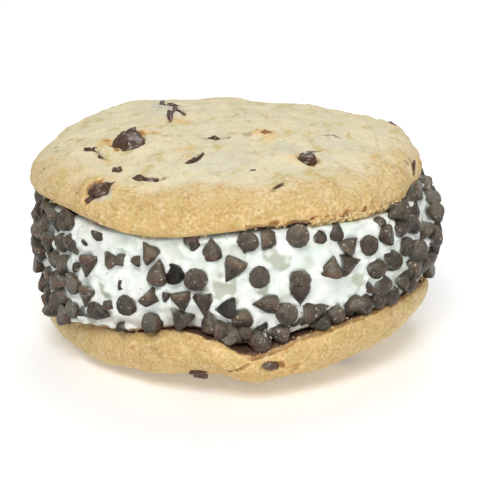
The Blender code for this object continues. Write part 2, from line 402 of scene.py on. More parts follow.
@dataclass
class Dressing:
    """The patterns of one material while it is made, each drawn once and kept."""

    tree: bpy.types.NodeTree
    place: bpy.types.NodeSocket
    push: tuple[float, float, float] = (1.0, 0.55, 1.0)
    wander_size: float = 1.8 * MM
    wander: float = 1.4 * MM
    drawn: dict[Pattern, bpy.types.NodeSocket] = field(default_factory=dict)

    def draw(self, pattern: Pattern) -> bpy.types.NodeSocket:
        """Draw a pattern's source.

        Args:
            pattern: the pattern.

        Returns:
            The source's value at each point.
        """
        tree = self.tree
        inputs = {"Vector": self.place, "Scale": per_size(pattern.size)}
        if pattern.source is Source.MESH:
            return add_node(tree, "Attribute", {}, attribute_name=pattern.name).outputs["Fac"]
        if pattern.source is Source.PORES:
            return add_node(tree, "TexVoronoi", inputs).outputs["Distance"]
        if pattern.source is Source.CRACKS:
            noise_inputs = {"Vector": self.place, "Scale": per_size(self.wander_size)}
            drift = add_node(tree, "TexNoise", noise_inputs).outputs["Color"]
            sway = add_node(
                tree, "VectorMath", {"Vector": drift, "Vector_001": (self.wander,) * 3},
                operation="MULTIPLY",
            )
            bent = add_node(
                tree, "VectorMath", {"Vector": self.place, "Vector_001": sway.outputs["Vector"]},
                operation="ADD",
            )
            inputs["Vector"] = bent.outputs["Vector"]
            plates = add_node(tree, "TexVoronoi", inputs, feature="DISTANCE_TO_EDGE")
            return plates.outputs["Distance"]
        if pattern.source is Source.PUSHED:
            pushed = add_node(
                tree, "VectorMath", {"Vector": self.place, "Vector_001": self.push},
                operation="MULTIPLY",
            )
            inputs["Vector"] = pushed.outputs["Vector"]
        inputs["Detail"] = pattern.detail
        return add_node(tree, "TexNoise", inputs).outputs["Fac"]

    def share(self, pattern: Pattern) -> bpy.types.NodeSocket:
        """Return how much a pattern shows, and draw it the first time.

        Args:
            pattern: the pattern.

        Returns:
            Its share at each point.
        """
        if pattern in self.drawn:
            return self.drawn[pattern]
        plain = replace(pattern, low=0.0, high=1.0, most=1.0, least=0.0)
        if pattern == plain:
            made = self.draw(pattern)
        else:
            inputs = {
                "Value": self.share(plain), "From Min": pattern.low, "From Max": pattern.high,
                "To Min": pattern.least, "To Max": pattern.most,
            }
            made = add_node(self.tree, "MapRange", inputs).outputs["Result"]
        self.drawn[pattern] = made
        return made

    def colours(self, layers: tuple[Layer, ...]) -> bpy.types.NodeSocket:
        """Lay colours one over another.

        Args:
            layers: the colours, of which the first lies under all the others.

        Returns:
            The colour that shows.
        """
        shown = linear(layers[0].colour)
        for layer in layers[1:]:
            first, *others = (self.share(pattern) for pattern in layer.patterns)
            for other in others:
                inputs = {"Value": first, "Value_001": other}
                first = add_node(self.tree, "Math", inputs, operation="MULTIPLY").outputs["Value"]
            inputs = {"Factor_Float": first, "A_Color": shown, "B_Color": linear(layer.colour)}
            mixed = add_node(self.tree, "Mix", inputs, data_type="RGBA")
            shown = [s for s in mixed.outputs if s.identifier == "Result_Color"][0]
        return shown

    def relief(self, steps: tuple[Relief, ...]) -> bpy.types.NodeSocket:
        """Press relief into the surface.

        Args:
            steps: the reliefs, one pressed over another.

        Returns:
            The direction that the surface faces.
        """
        inputs: dict[str, object] = {}
        for step in steps:
            inputs["Height"] = self.share(step.pattern)
            inputs["Distance"] = step.depth
            inputs["Strength"] = step.strength
            inputs["Normal"] = add_node(self.tree, "Bump", inputs).outputs["Normal"]
        return inputs["Normal"]


@dataclass(frozen=True)
class Finish:
    """A surface finish, with its colours in layers and its fine relief."""

    name: str
    roughness: float
    ior: float

    def material(self) -> bpy.types.Material:
        """Make the finish's material.

        Returns:
            The material, which reads Object coordinates and the shares on a mesh.
        """
        made = new_material(self.name)
        tree = made.node_tree
        dressing = Dressing(tree, add_node(tree, "TexCoord", {}).outputs["Object"])
        inputs = {
            "Base Color": dressing.colours(self.layers()),
            "Normal": dressing.relief(self.reliefs()),
            "Roughness": self.roughness,
            "IOR": self.ior,
        }
        shader = add_node(tree, "BsdfPrincipled", inputs | self.extras())
        add_node(tree, "OutputMaterial", {"Surface": shader.outputs["BSDF"]})
        return made

    def layers(self) -> tuple[Layer, ...]:
        """Return the finish's colours, the lowest first."""
        raise NotImplementedError

    def reliefs(self) -> tuple[Relief, ...]:
        """Return the finish's fine relief, the coarsest first."""
        raise NotImplementedError

    def extras(self) -> dict[str, object]:
        """Return the shader's other settings, which hold all over the surface."""
        return {}


@dataclass(frozen=True)
class BakedDough(Finish):
    """Baked butter cookie dough: pale and dry in the middle, golden and pitted at the rim."""

    pale: str = "#E5D9B5"
    cool: str = "#DBD3B0"
    golden: str = "#DAC08C"
    tan: str = "#CDAC70"
    brown: str = "#6A3517"
    butter: str = "#C8B470"
    toasted: str = "#E0BE88"
    orange: str = "#D29C58"
    sugar: str = "#ECE0BF"
    crumb: str = "#AE8648"
    speck: str = "#8A6232"
    crack: str = "#8E6F33"
    peach: str = "#E4C184"
    caramel: str = "#A67636"
    film: str = "#D0CCB8"
    # Near-black: chocolate specks, and painted shade in creases and at the seam.
    smear: str = "#331B10"

    def layers(self) -> tuple[Layer, ...]:
        """Return the dough's mottling, toasting, stains, grain, flecks and cracks.

        Returns:
            The colours, the lowest first.
        """
        toast, baked = Pattern(Source.MESH, name="toast"), Pattern(Source.MESH, name="caramel")
        # The crumb shows strongest on the toasted rim.
        rough = replace(toast, low=0.12, high=0.42, least=0.4)
        grit = Pattern(Source.GRAIN, size=0.7 * MM, detail=4.0)
        zone = Pattern(Source.GRAIN, 0.35, 0.6, least=0.4, size=4.0 * MM)
        sweet = Pattern(Source.PUSHED, 0.6, 0.74, 0.6, size=1.8 * MM, detail=3.0)
        return (
            Layer(self.pale),
            # Soft mottling about 5 mm across, as the dough dries unevenly in the oven.
            Layer(self.cool, (Pattern(Source.PUSHED, 0.4, 0.62, size=5 * MM, detail=3.0),)),
            Layer(self.golden, (replace(toast, low=0.1, high=0.5),)),
            Layer(self.tan, (replace(toast, low=0.5, high=0.8),)),
            # Olive butter blots 3 mm across, and toasted ones as wide.
            Layer(self.butter, (Pattern(Source.PUSHED, 0.55, 0.66, 0.7, size=3.0 * MM, detail=4.0),)),
            Layer(self.toasted, (Pattern(Source.PUSHED, 0.36, 0.26, 0.7, size=3.4 * MM, detail=3.0),)),
            # Butter and sugar baked to peach, and to amber where they lay thickest.
            Layer(self.peach, (replace(baked, low=0.05, high=0.5),)),
            Layer(self.caramel, (replace(baked, low=0.45),)),
            # Dough burnt brown against the ice cream and around the chocolate.
            Layer(self.brown, (replace(toast, low=0.84),)),
            # Crumb that shows as light and dark grain 0.7 mm across, in patches.
            Layer(self.sugar, (replace(grit, low=0.52, high=0.68, most=0.5), rough, zone)),
            Layer(self.crumb, (replace(grit, low=0.49, high=0.32, most=0.6), rough, zone)),
            # Caramelised sugar specks nearly 2 mm across, and brown ones half as wide.
            Layer(self.orange, (sweet, rough)),
            Layer(self.speck, (Pattern(Source.GRAIN, 0.66, 0.74, 0.7, size=0.75 * MM), rough)),
            # Hair cracks between crusts 3.5 mm across, which break off into nothing.
            Layer(
                self.crack,
                (
                    Pattern(Source.CRACKS, 0.07, 0.0, size=3.5 * MM),
                    Pattern(Source.GRAIN, 0.52, 0.64, 0.5, size=4.5 * MM),
                    rough,
                ),
            ),
            # Film that the ice cream left, and near-black chocolate specks and painted shade in
            # creases and at the seam.
            Layer(self.film, (Pattern(Source.MESH, name="film"),)),
            Layer(self.smear, (Pattern(Source.MESH, name="smear"),)),
        )

    def reliefs(self) -> tuple[Relief, ...]:
        """Return a floury grain and pores about 0.5 mm across."""
        flour = Relief(Pattern(Source.GRAIN, size=1.1 * MM, detail=5.0), 0.26 * MM, 0.6)
        return flour, Relief(Pattern(Source.PORES, 0.05, 0.4, size=0.9 * MM), 0.12 * MM, 0.45)


@dataclass(frozen=True)
class Vanilla(Finish):
    """Churned vanilla ice cream: wet, white and a little see-through, with cool shadows."""

    white: str = "#F3F6F0"
    mint: str = "#E3ECE3"
    icy: str = "#BFC3B3"
    cocoa: str = "#866A4E"
    speck: str = "#4A4038"

    def layers(self) -> tuple[Layer, ...]:
        """Return cloudy white, with icy patches, what rubbed off the chocolate and painted shade at
        the foot.

        Returns:
            The colours, the lowest first.
        """
        return (
            Layer(self.white),
            Layer(self.mint, (Pattern(Source.GRAIN, 0.42, 0.62, size=5 * MM),)),
            Layer(self.icy, (Pattern(Source.MESH, name="icy"),)),
            # Cocoa rubbed off the chocolate, and painted shade in the seam at the foot.
            Layer(self.cocoa, (Pattern(Source.MESH, name="smear"),)),
            # Chocolate dust in grains 0.6 mm across, in loose groups.
            Layer(
                self.speck,
                (
                    Pattern(Source.GRAIN, 0.66, 0.72, 0.7, size=0.6 * MM),
                    Pattern(Source.GRAIN, 0.5, 0.62, size=4.5 * MM),
                ),
            ),
        )

    def reliefs(self) -> tuple[Relief, ...]:
        """Return the churned grain, whose lumps are 1.1 mm across."""
        return (Relief(Pattern(Source.GRAIN, size=1.1 * MM, detail=3.0), 0.18 * MM, 0.5),)

    def extras(self) -> dict[str, object]:
        """Return how far light goes into the ice cream, which softens its shadows."""
        depth = {"Subsurface Radius": (1.0, 1.1, 1.05), "Subsurface Scale": 1.2 * MM}
        return {"Subsurface Weight": 0.6} | depth


@dataclass(frozen=True)
class Chocolate(Finish):
    """Dark chocolate, moulded or broken: dull and gritty on chips, glossy on chunks."""

    dark: str = "#1C160D"
    bloom: str = "#655748"
    umber: str = "#4A3626"
    red: str = "#6A4230"
    grey: str = "#78705D"
    # Near-black, for the dark skin between cocoa grains and for painted shade.
    wet: str = "#16120A"
    # Pale ice cream smear, which on the chunks is a painted highlight.
    cream: str = "#CFD4CA"
    # Near-white, for sugar specks and painted glints.
    dust: str = "#DEDACD"
    sugar_and_glint_share: float = 0.9
    grain_share: float = 0.32
    grit_size: float = 0.6 * MM
    grit_depth: float = 0.36 * MM
    gloss: float = 0.5

    def layers(self) -> tuple[Layer, ...]:
        """Return bloom, red thin edges, a gritty skin, painted light and shade, and a smear of ice
        cream.

        Returns:
            The colours, the lowest first.
        """
        names = ("tone", "edge", "dust_and_painted_top_light", "flat", "deep", "smear")
        tone, edge, dust_and_painted_top_light, flat, deep, smear = (Pattern(Source.MESH, name=name) for name in names)
        grain = Pattern(Source.GRAIN, size=0.7 * MM, detail=3.0, most=self.grain_share)
        return (
            Layer(self.dark),
            Layer(self.bloom, (Pattern(Source.GRAIN, 0.38, 0.62, size=1.5 * MM, detail=4.0),)),
            Layer(self.umber, (tone,)),
            Layer(self.red, (edge,)),
            # Painted light: the upper sides of the chips are lighter grey, partly settled dust.
            Layer(self.grey, (dust_and_painted_top_light,)),
            Layer(self.grey, (flat,)),
            # Cocoa dust in grains 0.7 mm across, and the dark skin between them.
            Layer(self.grey, (replace(grain, low=0.5, high=0.64),)),
            Layer(self.wet, (replace(grain, low=0.48, high=0.36),)),
            # Near-white specks 0.55 mm across, in groups 3 mm across: painted glints, partly sugar.
            Layer(
                self.dust,
                (
                    Pattern(Source.GRAIN, 0.63, 0.69, self.sugar_and_glint_share, size=0.55 * MM),
                    Pattern(Source.GRAIN, 0.44, 0.56, size=3 * MM),
                ),
            ),
            # Painted shade: near-black undersides, parts sunk in the ice cream, and chips that lie in
            # the dark.
            Layer(self.wet, (deep,)),
            # Ice cream smeared on the chips; on the chunks the same pale colour is a painted
            # highlight.
            Layer(self.cream, (smear,)),
        )

    def reliefs(self) -> tuple[Relief, ...]:
        """Return the grit of the skin."""
        return (Relief(Pattern(Source.GRAIN, size=self.grit_size, detail=3.0), self.grit_depth, 0.8),)

    def extras(self) -> dict[str, object]:
        """Return how strongly the chocolate shines."""
        return {"Specular IOR Level": self.gloss}


# ---------------------------------------------------------------- cookies


@dataclass(frozen=True)
class Wave:
    """One ripple that runs round a cookie's rim, with a crest at a bearing in degrees."""

    count: int
    height: float
    crest: float


@dataclass(frozen=True)
class Bump:
    """A swelling or a dip at one place on a cookie's rim.

    Its bearing and width are in degrees, and it goes out and up in metres.
    """

    bearing: float
    width: float
    out: float
    up: float


@dataclass(frozen=True)
class Spot:
    """A place on a cookie's skin.

    Along is the distance in millimetres from the middle of the dome, over the shoulder
    and round the edge.
    """

    bearing: float
    along: float


@dataclass(frozen=True)
class Crease:
    """A crack or fold in a cookie's skin, through a few spots, with sizes in metres."""

    spots: tuple[Spot, ...]
    width: float
    depth: float
    # Dark is painted shade in the crease's floor, as a share.
    dark: float = 0.0
    caramel: float = 0.0


@dataclass(frozen=True)
class Stain:
    """A patch of colour on a cookie's skin, with a low or high middle.

    Its width, rise and roughness are in metres, and its colours are shares.
    """

    spot: Spot
    width: float
    caramel: float = 0.0
    film: float = 0.0
    smear: float = 0.0
    rise: float = 0.0
    rough: float = 0.0
    brown: float = 0.0


@dataclass(frozen=True)
class Chunk:
    """A chocolate chunk set in a cookie's dome, at its place in the CAD part or close by.

    Its reach, sizes and how proud it stands are in metres, and its turn, lean and tip in
    degrees. Buried and grow are shares, and so is the pale mark painted across it, which
    is a painted highlight as much as a scrape.
    """

    bearing: float
    reach: float
    length: float
    width: float
    depth: float
    turn: float
    proud: float
    lean: float = 0.0
    buried: float = 0.0
    grow: float = 1.0
    tip: float = 0.0
    scuff_and_painted_highlight: float = 0.0


@dataclass(frozen=True)
class CookieForm:
    """The smooth shape of a cookie, as the CAD part gives it.

    Side is 1 for a dome upwards and -1 for one downwards. Shift is how far the cookie lies
    to the right, and face is the height of its flat side, both in metres.
    """

    side: int
    shift: float
    radius: float
    face: float
    thickness: float
    outline: tuple[Wave, ...]
    lift: tuple[Wave, ...]
    bumps: tuple[Bump, ...]
    fine_bumps: tuple[Bump, ...] = ()

    @staticmethod
    def ripple(waves: tuple[Wave, ...], bearing: np.ndarray) -> np.ndarray:
        """Return how far waves move the rim at bearings in radians."""
        turns = [w.height * np.cos(w.count * (bearing - radians(w.crest))) for w in waves]
        return np.sum(turns, axis=0)

    @staticmethod
    def nearness(bump: Bump, bearing: np.ndarray) -> np.ndarray:
        """Return 1 in the middle of a bump, and less away from it."""
        away = (np.degrees(bearing) - bump.bearing + 180.0) % 360.0 - 180.0
        return hump(away, bump.width)

    def spread(self, bearing: np.ndarray) -> np.ndarray:
        """Work out how much wider than a plain disc the cookie is.

        Args:
            bearing: bearings in radians.

        Returns:
            What the plain radius is multiplied by at each.
        """
        out = self.ripple(self.outline, bearing)
        for bump in self.bumps + self.fine_bumps:
            out = out + bump.out * self.nearness(bump, bearing)
        return 1.0 + out / self.radius

    def rim_lift(self, reach: np.ndarray, bearing: np.ndarray) -> np.ndarray:
        """Work out how far the wavy rim lifts points, which is nothing in the middle.

        Args:
            reach: how far from the middle each is on the plain disc, in metres.
            bearing: the bearing of each, in radians.

        Returns:
            The lift of each, in metres.
        """
        up = self.ripple(self.lift, bearing)
        for bump in self.bumps + self.fine_bumps:
            up = up + bump.up * self.nearness(bump, bearing)
        share = np.maximum(0.0, (reach - REST_RADIUS) / (self.radius - REST_RADIUS))
        return up * share**3

    def settle(self, x: np.ndarray, y: np.ndarray, height: np.ndarray) -> np.ndarray:
        """Bring points of the plain turned cookie to the wavy one.

        Args:
            x: how far right each is, in metres.
            y: how far back.
            height: how far above the flat face.

        Returns:
            Their places, one a row.
        """
        reach = np.hypot(x, y)
        bearing = np.arctan2(y, x)
        spread = self.spread(bearing)
        level = self.face + self.side * height + self.rim_lift(reach, bearing)
        return np.stack([self.shift + x * spread, y * spread, level], axis=-1)

    def lift_at(self, x: np.ndarray, y: np.ndarray) -> np.ndarray:
        """Work out how far the rim lifts the flat face.

        Args:
            x: places on the ground, in metres.
            y: the same.

        Returns:
            The lift over each, in metres.
        """
        bearing = np.arctan2(y, x - self.shift)
        reach = np.hypot(x - self.shift, y) / self.spread(bearing)
        return self.rim_lift(reach, bearing)

    @cached_property
    def profile(self) -> np.ndarray:
        """Draw the outline of the plain cookie, from the dome's middle round to the face's.

        Returns:
            Rows of (radius, height above the flat face).
        """
        shoulder = self.radius - SHOULDER_WIDTH
        face_edge = self.radius - EDGE_ROUND
        top = self.thickness - CROWN
        reach = np.linspace(0.0, shoulder, DOME_ROWS)
        slope = np.clip((reach - REST_RADIUS) / (shoulder - REST_RADIUS), 0.0, 1.0)
        dome = np.stack([reach, self.thickness - CROWN * slope**2], axis=-1)
        turn = np.linspace(0.0, pi / 2, SHOULDER_ROWS + 1)[1:]
        reach = shoulder + SHOULDER_WIDTH * np.sin(turn)
        side = np.stack([reach, EDGE_HEIGHT + (top - EDGE_HEIGHT) * np.cos(turn)], axis=-1)
        turn = np.linspace(pi / 2, 0.0, CURL_ROWS + 1)[1:]
        reach = face_edge + EDGE_ROUND * np.sin(turn)
        curl = np.stack([reach, EDGE_HEIGHT * (1.0 - np.cos(turn))], axis=-1)
        outer = np.concatenate([dome, side, curl])
        keep = np.arange(1, len(outer) - 1) > SOFTENED_ROWS
        for _ in range(SOFTENING_PASSES):
            mean = (outer[:-2, 1] + 2.0 * outer[1:-1, 1] + outer[2:, 1]) / 4.0
            outer[1:-1, 1] = np.where(keep, outer[1:-1, 1], mean)
        rings = np.array([0.93, 0.8, 0.55, 0.25, 0.0]) * face_edge
        inner = np.stack([rings, np.zeros_like(rings)], axis=-1)
        return np.concatenate([outer, inner])

    @cached_property
    def along(self) -> np.ndarray:
        """Return the distance along the skin of each row of the profile."""
        steps = np.hypot(*np.diff(self.profile, axis=0).T)
        return np.concatenate([[0.0], np.cumsum(steps)])

    def point(self, reach: float, bearing: float, height: float) -> np.ndarray:
        """Bring one point of the plain turned cookie to the wavy one.

        Args:
            reach: how far it is from the middle, in metres.
            bearing: its bearing, in radians.
            height: how far it is above the flat face, in metres.

        Returns:
            Its place.
        """
        flat = (reach * cos(bearing), reach * sin(bearing), height)
        return self.settle(*(np.array([part]) for part in flat))[0]

    def on_skin(self, spot: Spot) -> np.ndarray:
        """Find where a spot of the skin is.

        Args:
            spot: the spot.

        Returns:
            Its place.
        """
        reach = np.interp(spot.along * MM, self.along, self.profile[:, 0])
        height = np.interp(spot.along * MM, self.along, self.profile[:, 1])
        return self.point(reach, radians(spot.bearing), height)

    def dome_point(self, reach: float, bearing: float) -> Vector:
        """Find a point on the dome.

        Args:
            reach: how far it is from the middle, in metres.
            bearing: its bearing, in radians.

        Returns:
            Its place.
        """
        outer = self.profile[:OUTER_ROWS]
        return Vector(self.point(reach, bearing, np.interp(reach, outer[:, 0], outer[:, 1])))


def distance_to_path(points: np.ndarray, path: list[np.ndarray]) -> np.ndarray:
    """Measure how far points are from a line through a few places.

    Args:
        points: the points, one a row.
        path: the places, in order.

    Returns:
        The distance of each point, in metres.
    """
    nearest = np.full(len(points), FAR_AWAY)
    for start, end in zip(path, path[1:]):
        step = end - start
        share = np.clip((points - start) @ step / (step @ step), 0.0, 1.0)
        away = np.linalg.norm(points - (start + share[:, None] * step), axis=1)
        nearest = np.minimum(nearest, away)
    return nearest


@dataclass
class Skin:
    """A cookie's skin while it is shaped, with one number for each point in each array.

    Outer is 1 on the outer skin and 0 on the hidden flat face. Share is the part of the
    radius at which a point lies, and rim is 1 where the dough is toasted. Broad, lumps,
    knobs, grain and fine are noise, from 11 mm down to 0.8 mm across, and uneven varies
    about 1. Move is how far a point goes outwards, in metres.
    """

    points: np.ndarray
    height: np.ndarray
    share: np.ndarray
    outer: np.ndarray
    rim: np.ndarray
    broad: np.ndarray
    lumps: np.ndarray
    knobs: np.ndarray
    grain: np.ndarray
    fine: np.ndarray
    uneven: np.ndarray
    move: np.ndarray
    colours: dict[str, np.ndarray] = field(default_factory=dict)

    def show(self, colour: str, share: np.ndarray) -> None:
        """Let a colour show at least as strongly as a share."""
        self.colours[colour] = np.maximum(self.colours.get(colour, 0.0), share)


@dataclass
class Cookie:
    """A baked cookie, with its cracks, stains, pits and the dips round its chunks.

    The skin stays pale out to pale_reach, a share of the radius. Scorch is how high the
    dough is burnt over the ice cream, in metres.
    """

    name: str
    form: CookieForm
    chunks: tuple[Chunk, ...]
    creases: tuple[Crease, ...]
    stains: tuple[Stain, ...]
    seed: float
    pale_reach: float
    scorch: float = 0.6 * MM
    steps: int = 640
    broken_faces: int = 9

    def chunk_frame(self, chunk: Chunk) -> tuple[Vector, Matrix]:
        """Find where a chunk lies.

        Args:
            chunk: the chunk.

        Returns:
            The place on the dome over it, and the turn that its shape takes.
        """
        bearing = radians(chunk.bearing)
        middle = self.form.dome_point(chunk.reach, bearing)
        across = self.form.dome_point(chunk.reach, bearing + 0.01) - middle
        inward = self.form.dome_point(chunk.reach * 0.99, bearing) - middle
        outward = across.cross(inward).normalized() * self.form.side
        outward.rotate(Matrix.Rotation(radians(chunk.lean), 3, "X"))
        heading = bearing + radians(chunk.turn)
        near = Vector((cos(heading), sin(heading), 0.0))
        sideways = outward.cross(near).normalized()
        turn = Matrix((sideways.cross(outward), sideways, outward)).transposed()
        return middle, turn

    def chunk_reach(self, points: np.ndarray, chunk: Chunk) -> np.ndarray:
        """Measure how many chunk half-sizes points are from a chunk's middle.

        Args:
            points: the points, one a row.
            chunk: the chunk.

        Returns:
            The distance of each point, which is 1 at the chunk's edge.
        """
        middle, turn = self.chunk_frame(chunk)
        local = (points - np.array(middle)) @ np.array(turn)
        flat = np.hypot(local[:, 0] / (chunk.length / 2), local[:, 1] / (chunk.width / 2))
        return np.hypot(flat, local[:, 2] / (0.8 * chunk.depth))

    def rise(self, plain: np.ndarray) -> Skin:
        """Start the skin with the swells, knobs, grain and pits that baking gives it.

        Args:
            plain: the points of the plain turned cookie, one a row.

        Returns:
            The skin, with no colours yet.
        """
        form, seed = self.form, self.seed
        height = form.side * plain[:, 2]
        points = form.settle(plain[:, 0], plain[:, 1], height)
        share = np.hypot(plain[:, 0], plain[:, 1]) / form.radius
        broad = wobble(points, 11 * MM, seed)
        lumps = wobble(points, 4.2 * MM, seed + 5)
        grain = wobble(points, 1.5 * MM, seed + 9)
        fine = wobble(points, 0.8 * MM, seed + 12)
        knobs = wobble(points, 2.6 * MM, seed + 25)
        ragged_share = share + 0.12 * broad + 0.05 * lumps
        rim = smooth_between(self.pale_reach - 0.1, self.pale_reach + 0.1, ragged_share)
        pitted = smooth_between(-0.1, 0.25, wobble(points, 5 * MM, seed + 4))
        pits = pitting(points, 1.7 * MM, seed + 3) * pitted
        streaks = wobble(points * np.array([0.35, 1.0, 1.0]), 2.6 * MM, seed + 15)
        move = 0.55 * MM * broad + 0.36 * MM * lumps + 0.04 * MM * streaks * (1.0 - rim)
        move += 0.15 * MM * knobs
        move += grain * (0.06 + 0.12 * rim) * MM + fine * (0.04 + 0.08 * rim) * MM
        move -= (0.05 + 0.17 * rim) * MM * pits
        outer = smooth_between(0.0, 0.0016, height)
        uneven = 1.0 + 0.8 * wobble(points, 1.9 * MM, seed + 20)
        return Skin(points, height, share, outer, rim, broad, lumps, knobs, grain, fine, uneven, move)

    def press_chunks(self, skin: Skin) -> None:
        """Sink a pocket for each chunk, with a raised lip and a burnt ring."""
        patches = smooth_between(-0.05, 0.25, wobble(skin.points, 3.2 * MM, self.seed + 22))
        for chunk in self.chunks:
            shown = 1.0 - chunk.buried
            away = self.chunk_reach(skin.points, chunk) * (1.0 + 0.25 * skin.grain)
            inside = (1.0 - smooth_between(0.9, 1.35, away)) * shown
            skin.move = skin.move * (1.0 - inside) - 0.5 * MM * inside
            skin.move += 0.35 * MM * hump(away - 1.7, 0.3)
            skin.move += 0.5 * MM * chunk.buried * hump(away, 0.9)
            ring = hump(away - 1.05, 0.22) * patches * shown
            skin.show("caramel", ring)
            skin.show("toast", 0.9 * smooth_between(0.4, 0.8, ring))

    def crack(self, skin: Skin) -> None:
        """Open the creases, each with a lip beside it."""
        for crease in self.creases:
            path = [self.form.on_skin(spot) for spot in crease.spots]
            away = distance_to_path(skin.points, path) * (1.0 + 0.5 * skin.grain)
            cleft = hump(away, crease.width)
            skin.move -= crease.depth * cleft
            skin.move += 0.35 * crease.depth * hump(away - 2.4 * crease.width, crease.width)
            # Painted shade darkens the floor of each crease.
            skin.show("smear", crease.dark * smooth_between(0.35, 0.7, cleft))
            skin.show("caramel", crease.caramel * hump(away, 1.6 * crease.width) * skin.uneven)

    def stain(self, skin: Skin) -> None:
        """Add the stains, and the hollows, swellings and roughness under them."""
        for stain in self.stains:
            away = np.linalg.norm(skin.points - self.form.on_skin(stain.spot), axis=1)
            near = hump(away * skin.uneven, 0.5 * stain.width)
            skin.show("caramel", stain.caramel * near)
            skin.show("film", stain.film * smooth_between(0.1, 0.6, near))
            skin.show("toast", stain.brown * smooth_between(0.25, 0.6, near))
            skin.show("smear", stain.smear * smooth_between(0.3, 0.7, near))
            skin.move += stain.rise * hump(away, 0.5 * stain.width)
            skin.move += stain.rough * near * (skin.grain + skin.fine)

    def toast(self, skin: Skin) -> None:
        """Brown the dough towards its edge, and scorch it against the ice cream."""
        form, grain, lumps = self.form, skin.grain, skin.lumps
        drop = 1.0 - smooth_between(0.2, 0.8, skin.height / form.thickness)
        tan = smooth_between(0.90, 1.0, skin.share) * drop
        # The rim is toasted more towards the front, so the front is darker and more golden than the
        # back.
        front = np.clip(-skin.points[:, 1] / form.radius, 0.0, 1.0)
        sides = smooth_between(0.45, 0.9, skin.share) * (0.08 + 0.12 * front)
        toast = sides + skin.rim * (0.18 + 0.34 * front) + 0.14 * tan
        toast = toast + 0.14 * lumps * skin.rim + 0.06 * grain * skin.rim
        skin.show("toast", np.minimum(toast, 0.8))
        # The dough is scorched dark against the ice cream, with a brown fringe at the right.
        deep = skin.height + 0.5 * MM * lumps + 0.2 * MM * grain
        hot = smooth_between(0.0, 0.5, skin.points[:, 0] / form.radius + 0.6 * skin.broad + 0.25)
        from_cream = deep / (self.scorch * (1.0 + 0.9 * hot))
        skin.show("toast", 0.99 * (1.0 - smooth_between(0.4, 0.95, from_cream)))
        ragged = from_cream + 0.12 * skin.knobs + 0.1 * grain
        fringe = (1.0 - smooth_between(0.9, 1.4, ragged)) * hot
        skin.show("toast", 0.92 * fringe)
        skin.show("caramel", 0.9 * fringe)
        # A near-black line at the seam: painted contact shadow where the ice cream meets the dough,
        # partly melted chocolate.
        skin.show("smear", 0.85 * (1.0 - smooth_between(0.2, 0.55, from_cream)))

    def build(self, finish: bpy.types.Material) -> bpy.types.Object:
        """Build the cookie and shape and colour its skin.

        Args:
            finish: its material.

        Returns:
            The cookie's piece.
        """
        rows = [(reach, self.form.side * height) for reach, height in self.form.profile.tolist()]
        piece = new_piece(self.name + "_baked", spun(rows, self.steps), finish)
        mesh = piece.data
        skin = self.rise(places_of(mesh))
        move_to(mesh, skin.points)
        out = facings_of(mesh)
        self.press_chunks(skin)
        self.crack(skin)
        self.stain(skin)
        skin.points = above_ground(skin.points + out * (skin.move * skin.outer)[:, None])
        move_to(mesh, skin.points)
        self.toast(skin)
        skin.colours["caramel"] = skin.colours["caramel"] * skin.outer
        for name, share in skin.colours.items():
            tint(mesh, name, share)
        stand_for(piece, "cookie", self.name)
        return piece

    def broken(self, ball: np.ndarray, number: int, chunk: Chunk) -> np.ndarray:
        """Knock a ball to the shape of a broken chunk.

        Args:
            ball: the points of a ball of radius 1, one a row.
            number: the chunk's number, which gives it facets of its own.
            chunk: the chunk, whose length sets how ragged it is.

        Returns:
            The points of the chunk, before it gets its size.
        """
        dice = Random(100 * number + int(self.seed))
        blocky = np.sign(ball) * np.abs(ball) ** 0.7
        for _ in range(self.broken_faces):
            lie = np.array([dice.uniform(-1, 1) for _ in range(3)])
            lie /= np.linalg.norm(lie)
            over = blocky @ lie - dice.uniform(0.82, 1.0)
            blocky -= lie * (np.maximum(over, 0.0) * 0.92)[:, None]
        ragged = 0.2 * wobble(ball, 0.6, number) + 0.09 * wobble(ball, 0.24, number)
        spikes = min(0.1 * chunk.length / MM, 0.5)
        ragged += spikes * np.maximum(wobble(ball, 0.4, number + 3) - 0.2, 0.0)
        return blocky + ball * ragged[:, None]

    def build_chunks(self, finish: bpy.types.Material) -> list[bpy.types.Object]:
        """Build the chocolate chunks in their pockets, each with its own broken facets.

        Args:
            finish: their material.

        Returns:
            The chunks' pieces.
        """
        made = []
        for number, chunk in enumerate(self.chunks, start=1):
            bm = bmesh.new()
            bmesh.ops.create_icosphere(bm, subdivisions=4, radius=1.0)
            name = f"{self.name}_chunk_{number}"
            piece = new_piece(name + "_looks", bm, finish)
            mesh = piece.data
            shape = self.broken(places_of(mesh), number, chunk)
            half = chunk.grow * np.array([chunk.length, chunk.width, chunk.depth]) / 2
            middle, turn = self.chunk_frame(chunk)
            # A chunk stands proud of the dough by its own measure, and a buried one sinks in.
            rise = chunk.proud - half[2] - 0.9 * MM * chunk.buried
            centre = np.array(middle) + np.array(turn.col[2]) * rise
            turn = Matrix.Rotation(radians(chunk.tip), 3, "X") @ turn
            points = above_ground(centre + (shape * half) @ np.array(turn).T)
            move_to(mesh, points)
            tint(mesh, "edge", 0.6 * smooth_between(0.0, 0.3, wobble(points, 2.2 * MM, number)))
            tint(mesh, "flat", 0.25 * smooth_between(0.1, 0.3, wobble(points, 1.6 * MM, number + 7)))
            # A pale mark painted across a chunk: a painted highlight, partly a scrape in the
            # chocolate.
            scuff_and_painted_highlight = wobble(points * np.array([0.5, 1.0, 1.0]), 0.9 * MM, number + 11)
            tint(mesh, "smear", chunk.scuff_and_painted_highlight * smooth_between(0.32, 0.42, scuff_and_painted_highlight))
            stand_for(piece, "chunks", name)
            made.append(piece)
        return made


# ---------------------------------------------------------------- ice cream and chips


